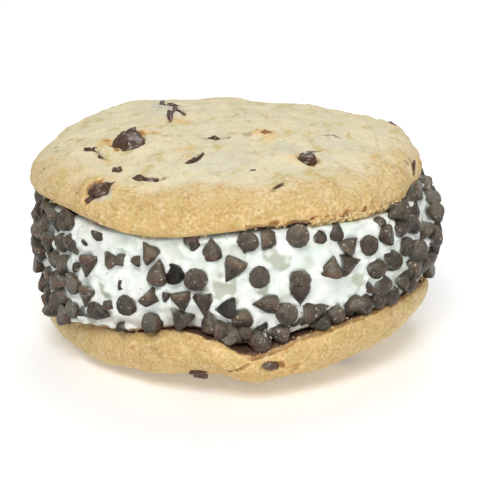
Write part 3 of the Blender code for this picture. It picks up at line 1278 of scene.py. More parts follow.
class Nib(Enum):
    """Where a mini chip's nib points, as (across, up, outwards) seen from outside."""

    UP = (0.0, 1.0, 0.15)
    UP_RIGHT = (0.7, 0.7, 0.15)
    RIGHT = (1.0, 0.0, 0.15)
    DOWN_RIGHT = (0.7, -0.7, 0.15)
    DOWN = (0.0, -1.0, 0.15)
    DOWN_LEFT = (-0.7, -0.7, 0.15)
    LEFT = (-1.0, 0.0, 0.15)
    UP_LEFT = (-0.7, 0.7, 0.15)
    OUT = (0.0, 0.25, 1.0)
    IN = (0.05, -0.1, -1.0)
    IN_LEFT = (-0.5, -0.1, -0.8)
    IN_RIGHT = (0.5, -0.1, -0.8)
    IN_UP = (0.0, 0.6, -0.8)
    IN_DOWN = (0.0, -0.6, -0.8)


class Make(Enum):
    """What kind of mini chip it is."""

    WHOLE = "whole"
    HOOKED = "hooked nib"
    BLUNT = "nib broken off"
    SPLIT = "split down the side"
    CRUMB = "small broken bit"


@dataclass(frozen=True)
class MiniChip:
    """A mini chip on the side of the ice cream.

    Its bearing and tilt are in degrees, and its height and how deep it is sunk in
    millimetres. Shade is how far it lies in the dark, as a share.
    """

    bearing: float
    height: float
    nib: Nib
    make: Make = Make.WHOLE
    sunk: float = 0.0
    tilt: float = 0.0
    shade: float = 0.0


@dataclass(frozen=True)
class IcyPatch:
    """A patch of clear ice on the side of the ice cream.

    Its bearing is in degrees, its height and width in millimetres, and its rise in metres.
    """

    bearing: float
    height: float
    width: float
    rise: float = 0.4 * MM


@dataclass
class IceCream:
    """The disc of ice cream, whose soft side wells up round each chip.

    Its plain side has a rounded corner over a share of its height, at the top and at the
    bottom, which is tucked in a little.
    """

    upper: CookieForm
    lower: CookieForm
    patches: tuple[IcyPatch, ...] = ()
    steps: int = 640
    rows: int = 74
    corner: float = 0.02
    tuck: float = 0.6 * MM
    well_reach: float = 2.1 * MM
    well_width: float = 0.8 * MM
    well_height: float = 0.6 * MM

    def side_radius(self, share: np.ndarray) -> np.ndarray:
        """Return the radius of the swollen side at shares of its height."""
        return CREAM_RADIUS + CREAM_BULGE * (1.0 - (2.0 * share - 1.0) ** 2)

    def levels(self, x: np.ndarray, y: np.ndarray) -> tuple[np.ndarray, np.ndarray]:
        """Find the heights between which the ice cream lies.

        Args:
            x: places on the ground, in metres.
            y: the same.

        Returns:
            The heights of its lower and upper faces over those places.
        """
        bottom = self.lower.face + GAP + self.lower.lift_at(x, y)
        top = self.upper.face - GAP + self.upper.lift_at(x, y)
        return bottom, top

    def band(self, bearing: float) -> tuple[float, float]:
        """Find the heights between which the side lies.

        Args:
            bearing: where on the side, in radians.

        Returns:
            The heights of its foot and its top there.
        """
        x, y = (np.array([CREAM_RADIUS * go(bearing)]) for go in (cos, sin))
        bottom, top = self.levels(x, y)
        return float(bottom[0]), float(top[0])

    def swell(self, points: np.ndarray) -> np.ndarray:
        """Work out how far the soft lumps and folds push the side out.

        Args:
            points: places on the plain side, one a row.

        Returns:
            The distance at each place, in metres.
        """
        stretched = points * np.array([1.0, 1.0, 1.6])
        broad = wobble(stretched, 9 * MM, 31)
        folds = wobble(stretched, 3.6 * MM, 37)
        # At the front left the ice cream swells out almost to the upper cookie's edge.
        away = (np.degrees(np.arctan2(points[:, 1], points[:, 0])) - 224.0 + 180.0) % 360.0 - 180.0
        left = 1.8 * hump(away, 17.0) * smooth_between(29 * MM, 36 * MM, points[:, 2])
        # The right end bulges in the middle of its height.
        reach = np.maximum(np.hypot(points[:, 0], points[:, 1]), TINY)
        right = np.maximum(points[:, 0] / reach, 0.0) ** 2
        level = (points[:, 2] / MM - 29.0) / 9.0
        tuck = right * np.minimum(level**2, 1.0) * np.where(level > 0.0, 2.3, 0.7)
        return MM * (0.3 + 1.0 * broad + 0.5 * folds + left - tuck)

    def skin_at(self, bearing: np.ndarray, height: np.ndarray) -> np.ndarray:
        """Find the radius of the finished side, but for its finest lumps.

        Args:
            bearing: where on the side, in radians.
            height: how high, in metres.

        Returns:
            The radius at each place.
        """
        radius = np.full(len(bearing), CREAM_RADIUS + CREAM_BULGE)
        for _ in range(2):  # the swelling moves the place where it is read a little
            x, y = radius * np.cos(bearing), radius * np.sin(bearing)
            bottom, top = self.levels(x, y)
            share = np.clip((height - bottom) / (top - bottom), 0.0, 1.0)
            radius = self.side_radius(share) + self.swell(np.stack([x, y, height], axis=-1))
        return radius

    def skin_point(self, bearing: float, height: float) -> np.ndarray:
        """Return the point of the side at a bearing in radians and a height in metres."""
        radius = float(self.skin_at(np.array([bearing]), np.array([height]))[0])
        return np.array([radius * cos(bearing), radius * sin(bearing), height])

    def outline(self) -> list[tuple[float, float]]:
        """Draw the plain disc's outline, from pole to pole.

        Returns:
            Points of (radius, share of the height).
        """
        rings = [(CREAM_RADIUS - self.tuck) * ring for ring in (0.0, 0.3, 0.6, 0.8, 0.93)]
        profile = [(ring, 0.0) for ring in rings]
        for share in np.linspace(0.0, 1.0, self.rows):
            held = np.clip(share, self.corner, 1 - self.corner)
            tuck = self.tuck * (1.0 - min(1.0, min(share, 1.0 - share) / self.corner))
            profile.append((float(self.side_radius(held)) - tuck, float(share)))
        return profile + [(ring, 1.0) for ring in reversed(rings)]

    def wells(self, points: np.ndarray, seats: np.ndarray) -> np.ndarray:
        """Find the rings of ice cream that well up round the chips.

        Args:
            points: places on the side, one a row.
            seats: where the chips sit, one a row.

        Returns:
            A share for each point, which is 1 on a ring.
        """
        well = np.zeros(len(points))
        for seat in seats:
            close = np.nonzero(np.abs(points - seat).max(axis=1) < 6 * MM)[0]
            away = np.linalg.norm(points[close] - seat, axis=1)
            well[close] = np.maximum(well[close], hump(away - self.well_reach, self.well_width))
        return well

    def build(self, finish: bpy.types.Material, seats: np.ndarray) -> bpy.types.Object:
        """Build the ice cream.

        Args:
            finish: its material.
            seats: where the chips sit on its side, one a row.

        Returns:
            The ice cream's piece.
        """
        bm = spun([(reach, share * CREAM_THICKNESS) for reach, share in self.outline()], self.steps)
        piece = new_piece("ice_cream_looks", bm, finish)
        mesh = piece.data
        points = places_of(mesh)
        share = points[:, 2] / CREAM_THICKNESS
        reach = np.hypot(points[:, 0], points[:, 1])
        bottom, top = self.levels(points[:, 0], points[:, 1])
        points[:, 2] = bottom + (top - bottom) * share
        on_side = smooth_between(0.93, 0.985, reach / self.side_radius(share))
        edge = smooth_between(0.0, 0.05, np.minimum(share, 1.0 - share))
        out = points * np.array([1.0, 1.0, 0.0]) / np.maximum(reach, TINY)[:, None]
        small = wobble(points, 1.6 * MM, 41)
        move = self.swell(points) + 0.13 * MM * small
        move += self.well_height * self.wells(points, seats) * (1.0 + small)
        points += out * (move * on_side * edge)[:, None]
        # The side runs out a little over the lower cookie and up against the upper one.
        foot = 0.45 * hump(share, 0.06) * (1.0 + 2.6 * small) + 0.8 * hump(1.0 - share, 0.04)
        uneven = 1.0 + 1.2 * wobble(points, 5 * MM, 44)
        points += out * (0.9 * MM * foot * on_side * uneven)[:, None]
        # Ice shows grey here and there, and stands up in the listed patches.
        icy = smooth_between(0.25, 0.45, wobble(points, 6.5 * MM, 51)) * 0.4
        for patch in self.patches:
            spot = self.skin_point(radians(patch.bearing), patch.height * MM)
            away = np.linalg.norm(points - spot, axis=1) * (1.0 + 0.9 * small)
            near = 1.0 - smooth_between(0.38 * patch.width * MM, 0.5 * patch.width * MM, away)
            icy = np.maximum(icy, near)
            points += out * (patch.rise * near)[:, None]
        move_to(mesh, points)
        # Cocoa smeared in patches over the foot, and a full band along the very bottom: painted shade
        # in the seam, partly cocoa.
        cocoa = hump(share, 0.11) * 0.7 * smooth_between(-0.2, 0.2, wobble(points, 3 * MM, 54))
        cocoa = np.maximum(cocoa, 1.0 - smooth_between(0.015, 0.04, share + 0.02 * small))
        tint(mesh, "icy", icy * on_side)
        tint(mesh, "smear", cocoa * on_side)
        stand_for(piece, "ice_cream", "ice_cream")
        return piece


@dataclass
class ChipCoat:
    """The mini chips that stick to the side of the ice cream.

    Between the two bearings of by_hand, in degrees, every chip is a set one. Elsewhere
    chips are strewn, at least least_space to least_space plus more_space mm apart. The
    outline of half a chip is in shares of its half width and its height.
    """

    cream: IceCream
    set_chips: tuple[MiniChip, ...]
    width: float = 4.9 * MM
    height: float = 5.1 * MM
    steps: int = 12
    seed: int = 7
    by_hand: tuple[float, float] = (213.0, 325.0)
    tries: int = 9000
    least_space: float = 3.4
    more_space: float = 0.9
    outline: tuple[tuple[float, float], ...] = (
        (0.0, 0.0), (0.93, 0.0), (1.0, 0.12), (0.88, 0.36), (0.47, 0.65), (0.14, 0.91), (0.0, 1.0),
    )
    chips: list[MiniChip] = field(default_factory=list)

    def shape(self, chip: MiniChip, dice: Random) -> bmesh.types.BMesh:
        """Make one chip with its base on the ground and its nib up.

        Args:
            chip: which make it is, and how dark.
            dice: where its own lean, dents and tone come from.

        Returns:
            The chip's shape, whose points store their colours' shares.
        """
        make = chip.make
        half = self.width / 2
        tall = self.height * dice.uniform(0.85, 1.08)
        bm = spun([(half * r, tall * h) for r, h in self.outline], self.steps)
        # The flat base meets the side in a crisp edge.
        for edge in bm.edges:
            on_base = all(v.co.z < 0.01 * tall and v.co.xy.length > 0.5 * half for v in edge.verts)
            edge.smooth = not on_base
        thin, base, tone, shade = (
            bm.verts.layers.float.new(name) for name in ("edge", "flat", "tone", "shade")
        )
        lean = dice.uniform(0.3, 0.65) if make is Make.HOOKED else dice.uniform(0.0, 0.2)
        way = dice.uniform(0.0, FULL_TURN)
        salt = Vector([dice.uniform(0, 99) for _ in range(3)])
        dullness = dice.uniform(-0.1, 0.8)
        oval = dice.uniform(0.86, 1.06)
        dent = dice.uniform(-0.35, 0.3) * MM
        warmth = max(0.0, dice.uniform(-0.4, 0.8))
        # The shade share is the larger of the chip's painted shade and a darker tone of its own, drawn
        # at random.
        darkness = max(chip.shade, dice.uniform(-0.4, 0.7))
        for vert in bm.verts:
            share = vert.co.z / tall
            ring = hypot(vert.co.x, vert.co.y) / half
            rim = max(0.0, 1.0 - abs(share - 0.1) / 0.16) * min(1.0, ring)
            vert[thin] = 0.85 * rim + 1.4 * max(0.0, share - 0.7)
            vert[base] = max(0.0, dullness) if share < 0.01 else 0.0
            vert[tone] = warmth
            vert[shade] = darkness
            if share < 0.01 and ring < 0.5:
                vert.co.z += dent
            vert.co.x *= oval
            spot = vert.co / (1.9 * MM) + salt
            dents = [noise.noise(spot + Vector(shift)) for shift in DENT_SHIFTS]
            vert.co += 0.24 * MM * Vector(dents)
            vert.co.x += lean * half * cos(way) * share**2
            vert.co.y += lean * half * sin(way) * share**2
        if make in (Make.BLUNT, Make.CRUMB):
            slant = Vector((dice.uniform(-0.3, 0.3), dice.uniform(-0.3, 0.3), 1.0))
            self.cut(bm, Vector((0, 0, tall * dice.uniform(0.5, 0.7))), slant)
        if make in (Make.SPLIT, Make.CRUMB):
            slant = Vector((cos(way), sin(way), dice.uniform(-0.2, 0.5)))
            self.cut(bm, slant * (half * dice.uniform(0.0, 0.25)), slant)
        if make is Make.CRUMB:
            bmesh.ops.scale(bm, vec=(0.75, 0.75, 0.75), verts=bm.verts)
        return bm

    @staticmethod
    def cut(bm: bmesh.types.BMesh, place: Vector, lie: Vector) -> None:
        """Break a chip off along a plane and close the broken face.

        Args:
            bm: the chip's shape.
            place: a point of the plane.
            lie: the way that the plane faces, towards the side that goes.
        """
        geometry = list(bm.verts) + list(bm.edges) + list(bm.faces)
        bmesh.ops.bisect_plane(bm, geom=geometry, plane_co=place, plane_no=lie, clear_outer=True)
        open_edges = [edge for edge in bm.edges if edge.is_boundary]
        bmesh.ops.holes_fill(bm, edges=open_edges, sides=0)

    def seat(self, chip: MiniChip) -> np.ndarray:
        """Find where a chip sits.

        Args:
            chip: the chip.

        Returns:
            The place on the ice cream's side under it.
        """
        bearing = radians(chip.bearing)
        bottom, top = self.cream.band(bearing)
        # The upper cookie sits back at the right, so chips ride up to its edge there.
        spare = 2.4 * max(0.0, cos(bearing)) ** 2
        height = min(max(chip.height * MM, bottom + 1.5 * MM), top + (spare - 1.7) * MM)
        # The lowest chips lie out on the cookie's rim.
        low = 0.4 * (1.0 - float(smooth_between(1.0 * MM, 3.0 * MM, height - bottom)))
        out = np.array([cos(bearing), sin(bearing), 0.0])
        return self.cream.skin_point(bearing, height) + low * MM * out

    def scatter(self) -> None:
        """Choose where chips fall, with the set ones first and none too close."""
        dice = Random(self.seed)
        self.chips = list(self.set_chips)
        seats = [self.seat(chip) for chip in self.chips]
        ways = [nib for nib in Nib if nib is not Nib.OUT]
        makes = [Make.WHOLE] * 8 + [Make.HOOKED] * 2 + [Make.BLUNT, Make.CRUMB]
        start, end = self.by_hand
        for _ in range(self.tries):
            bearing = dice.uniform(0.0, 360.0)
            share = dice.uniform(0.02, 0.98)
            spare = dice.random()
            nib, make = dice.choice(ways), dice.choice(makes)
            sunk, tilt = dice.uniform(-0.7, 0.3), dice.uniform(-25, 25)
            if start < bearing < end:
                continue
            bottom, top = self.cream.band(radians(bearing))
            height = (bottom + (top - bottom) * share) / MM
            if not bottom / MM + 1.5 < height < top / MM - 0.8:
                continue
            chip = MiniChip(bearing, height, nib, make, sunk, tilt)
            seat = self.seat(chip)
            space = (self.least_space + self.more_space * spare) * MM
            if np.linalg.norm(np.array(seats) - seat, axis=1).min() < space:
                continue
            self.chips.append(chip)
            seats.append(seat)

    def frame(self, chip: MiniChip, dice: Random) -> Matrix:
        """Work out how a chip goes from the ground to the ice cream's side.

        Args:
            chip: the chip.
            dice: where its wandering, spin and size come from.

        Returns:
            The move that brings its shape there.
        """
        bearing = radians(chip.bearing)
        outward = Vector((cos(bearing), sin(bearing), 0.0))
        up = Vector((0.0, 0.0, 1.0))
        across, rise, out = chip.nib.value
        lie = up.cross(outward) * across + up * rise + outward * out
        wander = Vector([dice.uniform(-0.16, 0.16) for _ in range(3)])
        turn = (lie + wander).to_track_quat("Z", "X").to_matrix().to_4x4()
        spin = Matrix.Rotation(dice.uniform(0.0, FULL_TURN), 4, "Z")
        size = Matrix.Scale(dice.uniform(0.93, 1.07), 4)
        middle = Matrix.Translation((0.0, 0.0, -0.38 * self.height))
        # A chip on its side stands on its belly, and a flat one lies nearly flush.
        stand = (0.55 * max(0.0, 1.0 - abs(out)) - 0.9 * max(0.0, out - 0.5)) * MM
        stand -= 0.1 * MM * max(0.0, -out)
        seat = Vector(self.seat(chip)) + outward * (stand - chip.sunk * MM)
        tilt = Matrix.Rotation(radians(chip.tilt), 4, outward)
        return Matrix.Translation(seat) @ tilt @ turn @ spin @ size @ middle

    def build(self, finish: bpy.types.Material) -> bpy.types.Object:
        """Build every chip in its place as one piece.

        Args:
            finish: their material.

        Returns:
            The coat's piece.
        """
        coat = bmesh.new()
        dice = Random(self.seed + 1)
        for chip in self.chips:
            bm = self.shape(chip, dice)
            bmesh.ops.transform(bm, matrix=self.frame(chip, dice), verts=bm.verts)
            bmesh.ops.recalc_face_normals(bm, faces=bm.faces)
            pour(bm, coat)
        piece = new_piece("mini_chips", coat, finish)
        points = places_of(piece.data)
        bearings = np.arctan2(points[:, 1], points[:, 0])
        proud = np.hypot(points[:, 0], points[:, 1]) - self.cream.skin_at(bearings, points[:, 2])
        film = 1.0 - smooth_between(0.2 * MM, 1.1 * MM, proud)
        tint(piece.data, "smear", 0.75 * film * smooth_between(0.0, 0.3, wobble(points, 1.6 * MM, 61)))
        shades = np.empty(len(points))
        piece.data.attributes["shade"].data.foreach_get("value", shades)
        # Painted light and shade: the upper sides are painted lighter, partly as settled dust,
        # and the undersides and the parts sunk in the ice cream are painted dark.
        upright = facings_of(piece.data)[:, 2]
        deep = 0.8 * (1.0 - smooth_between(0.3 * MM, 2.4 * MM, proud))
        deep = np.maximum(deep, 0.9 * smooth_between(-0.05, 0.65, -upright))
        # Chips that lie in the dark keep their painted shade.
        tint(piece.data, "deep", np.maximum(deep, shades))
        tint(piece.data, "dust_and_painted_top_light", 0.7 * smooth_between(0.0, 0.8, upright))
        stand_for(piece, "mini_chips", "chip_coat")
        return piece


@dataclass(frozen=True)
class Litter:
    """Small loose bits on one band of a cookie's skin.

    Bearings are in degrees, and along and sizes in millimetres, each from least to most.
    """

    bearings: tuple[float, float]
    along: tuple[float, float]
    count: int
    sizes: tuple[float, float]


@dataclass(frozen=True)
class Sliver:
    """A broken bit of chocolate that lies in a cookie's skin from one spot to another.

    Its width is in millimetres, and proud is the share of it that stands out.
    """

    start: Spot
    end: Spot
    width: float
    proud: float = 0.15


@dataclass(frozen=True)
class Lie:
    """How a bit lies: its place, the way it faces and points, and its size in metres."""

    place: Vector
    facing: Vector
    heading: Vector
    length: float
    width: float
    proud: float

    def frame(self) -> Matrix:
        """Work out how a ball of radius 1 goes to this lie.

        Returns:
            The move that brings it there, at the bit's size.
        """
        across = self.facing.cross(self.heading).normalized()
        along = across.cross(self.facing)
        turn = Matrix((along, across, self.facing)).transposed().to_4x4()
        size = Matrix.Diagonal((self.length / 2, self.width / 2, 0.4 * self.width, 1.0))
        lift = self.place + self.facing * (self.proud * self.width)
        return Matrix.Translation(lift) @ turn @ size


@dataclass
class Bits:
    """Many small broken bits, joined as one piece.

    Fineness is how often a bit's ball is divided, and a bluntness under 1 squares it off.
    """

    name: str
    slot: str
    seed: int
    fineness: int = 1
    bluntness: float = 1.0
    strewn_proud: float = 0.1
    lies: list[Lie] = field(default_factory=list)

    def strew(self, ground: bpy.types.Object, form: CookieForm, litter: Litter) -> None:
        """Choose places for bits on a cookie's finished skin.

        Args:
            ground: the cookie's piece.
            form: its smooth shape.
            litter: how many bits, and where.
        """
        dice = Random(self.seed + litter.count)
        for _ in range(litter.count):
            spot = Spot(dice.uniform(*litter.bearings), dice.uniform(*litter.along))
            width = dice.uniform(*litter.sizes) * MM
            length = width * dice.uniform(1.0, 1.8)
            _, place, facing, _ = ground.closest_point_on_mesh(Vector(form.on_skin(spot)))
            heading = Vector([dice.uniform(-1.0, 1.0) for _ in range(3)])
            self.lies.append(Lie(place, facing, heading, length, width, self.strewn_proud))

    def lay(self, ground: bpy.types.Object, form: CookieForm, sliver: Sliver) -> None:
        """Lay one bit on a cookie's finished skin between two spots.

        Args:
            ground: the cookie's piece.
            form: its smooth shape.
            sliver: the bit.
        """
        start, end = (Vector(form.on_skin(spot)) for spot in (sliver.start, sliver.end))
        _, place, facing, _ = ground.closest_point_on_mesh((start + end) / 2)
        reach = end - start
        self.lies.append(Lie(place, facing, reach, reach.length, sliver.width * MM, sliver.proud))

    def build(self, finish: bpy.types.Material) -> bpy.types.Object:
        """Build the bits, each an uneven lump half sunk in what it lies on.

        Args:
            finish: their material.

        Returns:
            The bits' piece.
        """
        heap = bmesh.new()
        dice = Random(self.seed)
        for lie in self.lies:
            bm = bmesh.new()
            bmesh.ops.create_icosphere(bm, subdivisions=self.fineness, radius=1.0)
            salt = Vector([dice.uniform(0, 99) for _ in range(3)])
            for vert in bm.verts:
                blocky = [abs(part) ** self.bluntness * (1 if part > 0 else -1) for part in vert.co]
                rough = dice.uniform(0.85, 1.1) + 0.45 * noise.noise(1.6 * vert.co + salt)
                vert.co = Vector(blocky) * rough
            bmesh.ops.transform(bm, matrix=lie.frame(), verts=bm.verts)
            pour(bm, heap)
        piece = new_piece(self.name, heap, finish)
        points = above_ground(places_of(piece.data))
        move_to(piece.data, points)
        tint(piece.data, "toast", 0.6 + 0.5 * wobble(points, 1.5 * MM, self.seed))
        tint(piece.data, "caramel", 0.8 * wobble(points, 1.2 * MM, self.seed + 3))
        tint(piece.data, "edge", 0.6 + wobble(points, 2.0 * MM, self.seed + 6))
        stand_for(piece, self.slot)
        return piece


# ---------------------------------------------------------------- studio


@dataclass(frozen=True)
class SoftLight:
    """A square softbox that points at the middle of the sandwich.

    Its bearing and rise are in degrees, its distance and size in metres, its power in watts.
    """

    name: str
    bearing: float
    rise: float
    distance: float
    size: float
    power: float

    def build(self, middle: Vector) -> None:
        """Make the light.

        Args:
            middle: the middle of the sandwich.
        """
        data = bpy.data.lights.new(self.name, "AREA")
        data.size = self.size
        data.energy = self.power
        light = bpy.data.objects.new(self.name, data)
        bearing, rise = radians(self.bearing), radians(self.rise)
        away = Vector((cos(bearing) * cos(rise), sin(bearing) * cos(rise), sin(rise)))
        light.location = middle + away * self.distance
        light.rotation_euler = away.to_track_quat("Z", "Y").to_euler()
        bpy.context.scene.collection.objects.link(light)


@dataclass(frozen=True)
class Studio:
    """A white floor, soft light all round, and the camera.

    The camera looks at the middle from a distance in metres and a rise in degrees. The
    floor glows a little, so that it stays white in the sandwich's shade.
    """

    middle: tuple[float, float, float] = (0.0, 0.0, 0.023)
    distance: float = 0.450
    rise: float = 17.5
    lens: float = 148.5
    sensor: float = 36.0
    near_clip: float = 0.01
    shift: tuple[float, float] = (0.0052, -0.0031)
    floor: str = "#FCFCFC"
    floor_half: float = 3.0
    table_glow: float = 0.2
    glow: float = 0.31
    lights: tuple[SoftLight, ...] = (
        SoftLight("Key softbox", 263, 45, 0.9, 0.34, 4.8),
        SoftLight("Fill softbox", 300, 10, 1.1, 0.9, 2.5),
        SoftLight("Back softbox", 84, 54, 1.0, 0.6, 3.4),
    )

    def build(self) -> None:
        """Make the floor, the lights and the camera."""
        self.build_floor()
        world = bpy.data.worlds.new("Studio")
        world.use_nodes = True
        background = world.node_tree.nodes["Background"]
        background.inputs["Color"].default_value = (1.0, 1.0, 1.0, 1.0)
        background.inputs["Strength"].default_value = self.glow
        bpy.context.scene.world = world
        for light in self.lights:
            light.build(Vector(self.middle))
        self.build_camera()

    def build_floor(self) -> None:
        """Lay the white paper that the sandwich stands on, which is matt and even."""
        paper = new_material("White paper sweep")
        white = linear(self.floor)
        inputs = {
            "Base Color": white, "Roughness": 0.9, "Emission Color": white,
            "Emission Strength": self.table_glow,
        }
        shader = add_node(paper.node_tree, "BsdfPrincipled", inputs)
        add_node(paper.node_tree, "OutputMaterial", {"Surface": shader.outputs["BSDF"]})
        bm = bmesh.new()
        bmesh.ops.create_grid(bm, x_segments=8, y_segments=8, size=self.floor_half)
        new_piece("floor", bm, paper)

    def build_camera(self) -> None:
        """Set the camera up in front of the sandwich, and have it show plain colours."""
        scene = bpy.context.scene
        data = bpy.data.cameras.new("Camera")
        data.lens = self.lens
        data.sensor_width = self.sensor
        data.shift_x, data.shift_y = self.shift
        data.clip_start = self.near_clip
        camera = bpy.data.objects.new("Camera", data)
        rise = radians(self.rise)
        camera.location = Vector(self.middle) + self.distance * Vector((0.0, -cos(rise), sin(rise)))
        camera.rotation_euler = (pi / 2 - rise, 0.0, 0.0)
        scene.collection.objects.link(camera)
        scene.camera = camera
        scene.view_settings.view_transform = "Standard"


# ---------------------------------------------------------------- the sandwich

LOWER_FORM = CookieForm(
    side=-1,
    shift=0.0,
    radius=0.0433,
    face=LOWER_THICKNESS,
    thickness=LOWER_THICKNESS,
    outline=(Wave(2, 0.0005, -35), Wave(3, 0.0011, 38), Wave(4, 0.0006, 3), Wave(5, 0.0002, 26)),
    lift=(Wave(1, 0.0028, -28), Wave(2, 0.001, -62), Wave(3, 0.0004, -6), Wave(4, 0.0006, -27)),
    bumps=(
        Bump(200, 12, -0.0008, -0.0004),
        Bump(240, 9, -0.0004, -0.0001),
        Bump(257, 9, 0.0006, 0.0025),
        Bump(270, 9, 0.0004, -0.0014),
        Bump(272, 26, 0.0007, 0.0002),
        Bump(305, 12, 0.0, 0.0011),
    ),
    fine_bumps=(
        Bump(273, 6, 0.0002, -0.0019),
        Bump(262, 4, 0.0004, 0.0003),
        Bump(236, 10, 0.0, -0.0007),
        Bump(190, 14, -0.0014, 0.0),
    ),
)

UPPER_FORM = CookieForm(
    side=1,
    shift=-0.0025,
    radius=0.0442,
    face=LOWER_THICKNESS + CREAM_THICKNESS,
    thickness=UPPER_THICKNESS,
    outline=(Wave(2, 0.0005, 63), Wave(3, 0.0004, 23), Wave(5, 0.0003, 28)),
    lift=(Wave(1, 0.0003, 45), Wave(2, 0.001, -87), Wave(3, 0.0003, 7), Wave(4, 0.0009, 26)),
    bumps=(
        Bump(110, 14, 0.0, -0.0005),
        Bump(140, 14, -0.0001, 0.001),
        Bump(185, 14, 0.0002, -0.0006),
        Bump(250, 14, 0.0003, -0.0017),
        Bump(300, 16, 0.0001, -0.0008),
        Bump(345, 16, -0.0003, 0.001),
    ),
    fine_bumps=(
        Bump(127, 7, 0.0, 0.0007),
        Bump(104, 7, 0.0, -0.0007),
        Bump(86, 5, 0.0, 0.0007),
        Bump(58, 4, 0.0, 0.0006),
        Bump(40, 8, 0.0, -0.0008),
    ),
)

LOWER_CHUNKS = (
    Chunk(279, 0.0432, 0.0024, 0.0038, 0.0026, 10, 0.0),
    Chunk(258, 0.0365, 0.0040, 0.0030, 0.0030, 80, 0.0006),
    Chunk(20, 0.0380, 0.0046, 0.0036, 0.0034, 40, 0.0006),
    Chunk(75, 0.0400, 0.0050, 0.0038, 0.0036, 70, 0.0008),
    Chunk(118, 0.0290, 0.0048, 0.0040, 0.0032, 15, 0.0005),
    Chunk(160, 0.0375, 0.0044, 0.0032, 0.0032, 120, 0.0006),
    Chunk(215, 0.0320, 0.0042, 0.0034, 0.0030, 30, 0.0003),
    Chunk(325, 0.0300, 0.0052, 0.0040, 0.0034, 55, 0.0005),
)

UPPER_CHUNKS = (
    Chunk(200, 0.0228, 0.0074, 0.0080, 0.0044, -18, 0.0012, lean=20, tip=2),
    Chunk(116, 0.0294, 0.0040, 0.0050, 0.0036, -20, 0.0012, buried=0.8),
    Chunk(231, 0.0414, 0.0046, 0.0050, 0.0040, 15, 0.0009),
    Chunk(199, 0.0314, 0.0030, 0.0040, 0.0030, 60, 0.0006, buried=0.5),
    Chunk(243, 0.0350, 0.0028, 0.0044, 0.0028, 10, 0.0005, buried=0.5),
    Chunk(309.5, 0.0277, 0.0038, 0.0040, 0.0042, -25, 0.0017, lean=34, grow=0.95, tip=12, scuff_and_painted_highlight=0.5),
    Chunk(336, 0.0097, 0.0032, 0.0036, 0.0030, 30, 0.0010, buried=0.85),
    Chunk(25, 0.0418, 0.0034, 0.0038, 0.0030, 0, 0.0006),
)

UPPER_CREASES = (
    Crease((Spot(197, 33), Spot(203, 31), Spot(212, 31)), 0.4 * MM, 0.5 * MM, dark=0.5),
    Crease(
        (Spot(238, 35), Spot(243, 34.8), Spot(248, 33.6), Spot(248, 32.5)), 0.4 * MM, 0.9 * MM,
        dark=0.6,
    ),
    Crease((Spot(252, 25.5), Spot(256, 22.5), Spot(255, 20)), 0.5 * MM, 0.5 * MM, dark=0.4),
    Crease((Spot(121, 30), Spot(115, 36), Spot(115, 30)), 0.45 * MM, 0.5 * MM, dark=0.6),
    Crease(
        (Spot(124, 17.5), Spot(118, 25), Spot(131, 20), Spot(153, 14.5)), 0.45 * MM, 0.5 * MM,
        dark=0.6,
    ),
    Crease((Spot(241, 9), Spot(258, 8), Spot(271, 6.3)), 0.6 * MM, 0.8 * MM, dark=0.5),
    Crease((Spot(317, 24.4), Spot(324, 25.6)), 0.35 * MM, 0.5 * MM, dark=0.5),
    Crease((Spot(350, 22), Spot(356, 24.5), Spot(352, 26.4)), 0.4 * MM, 0.6 * MM, dark=0.5),
    Crease((Spot(284, 40.2), Spot(288, 38.3)), 0.35 * MM, 0.5 * MM, dark=0.4),
    Crease((Spot(349, 43), Spot(345, 46)), 0.5 * MM, 0.6 * MM, dark=0.5),
    Crease((Spot(263, 27.5), Spot(268, 28.5), Spot(276, 26)), 0.6 * MM, 0.35 * MM),
    Crease((Spot(170, 30), Spot(160, 26), Spot(150, 27)), 0.7 * MM, 0.35 * MM),
    Crease((Spot(296, 14), Spot(330, 16), Spot(348, 20)), 0.8 * MM, 0.4 * MM),
)

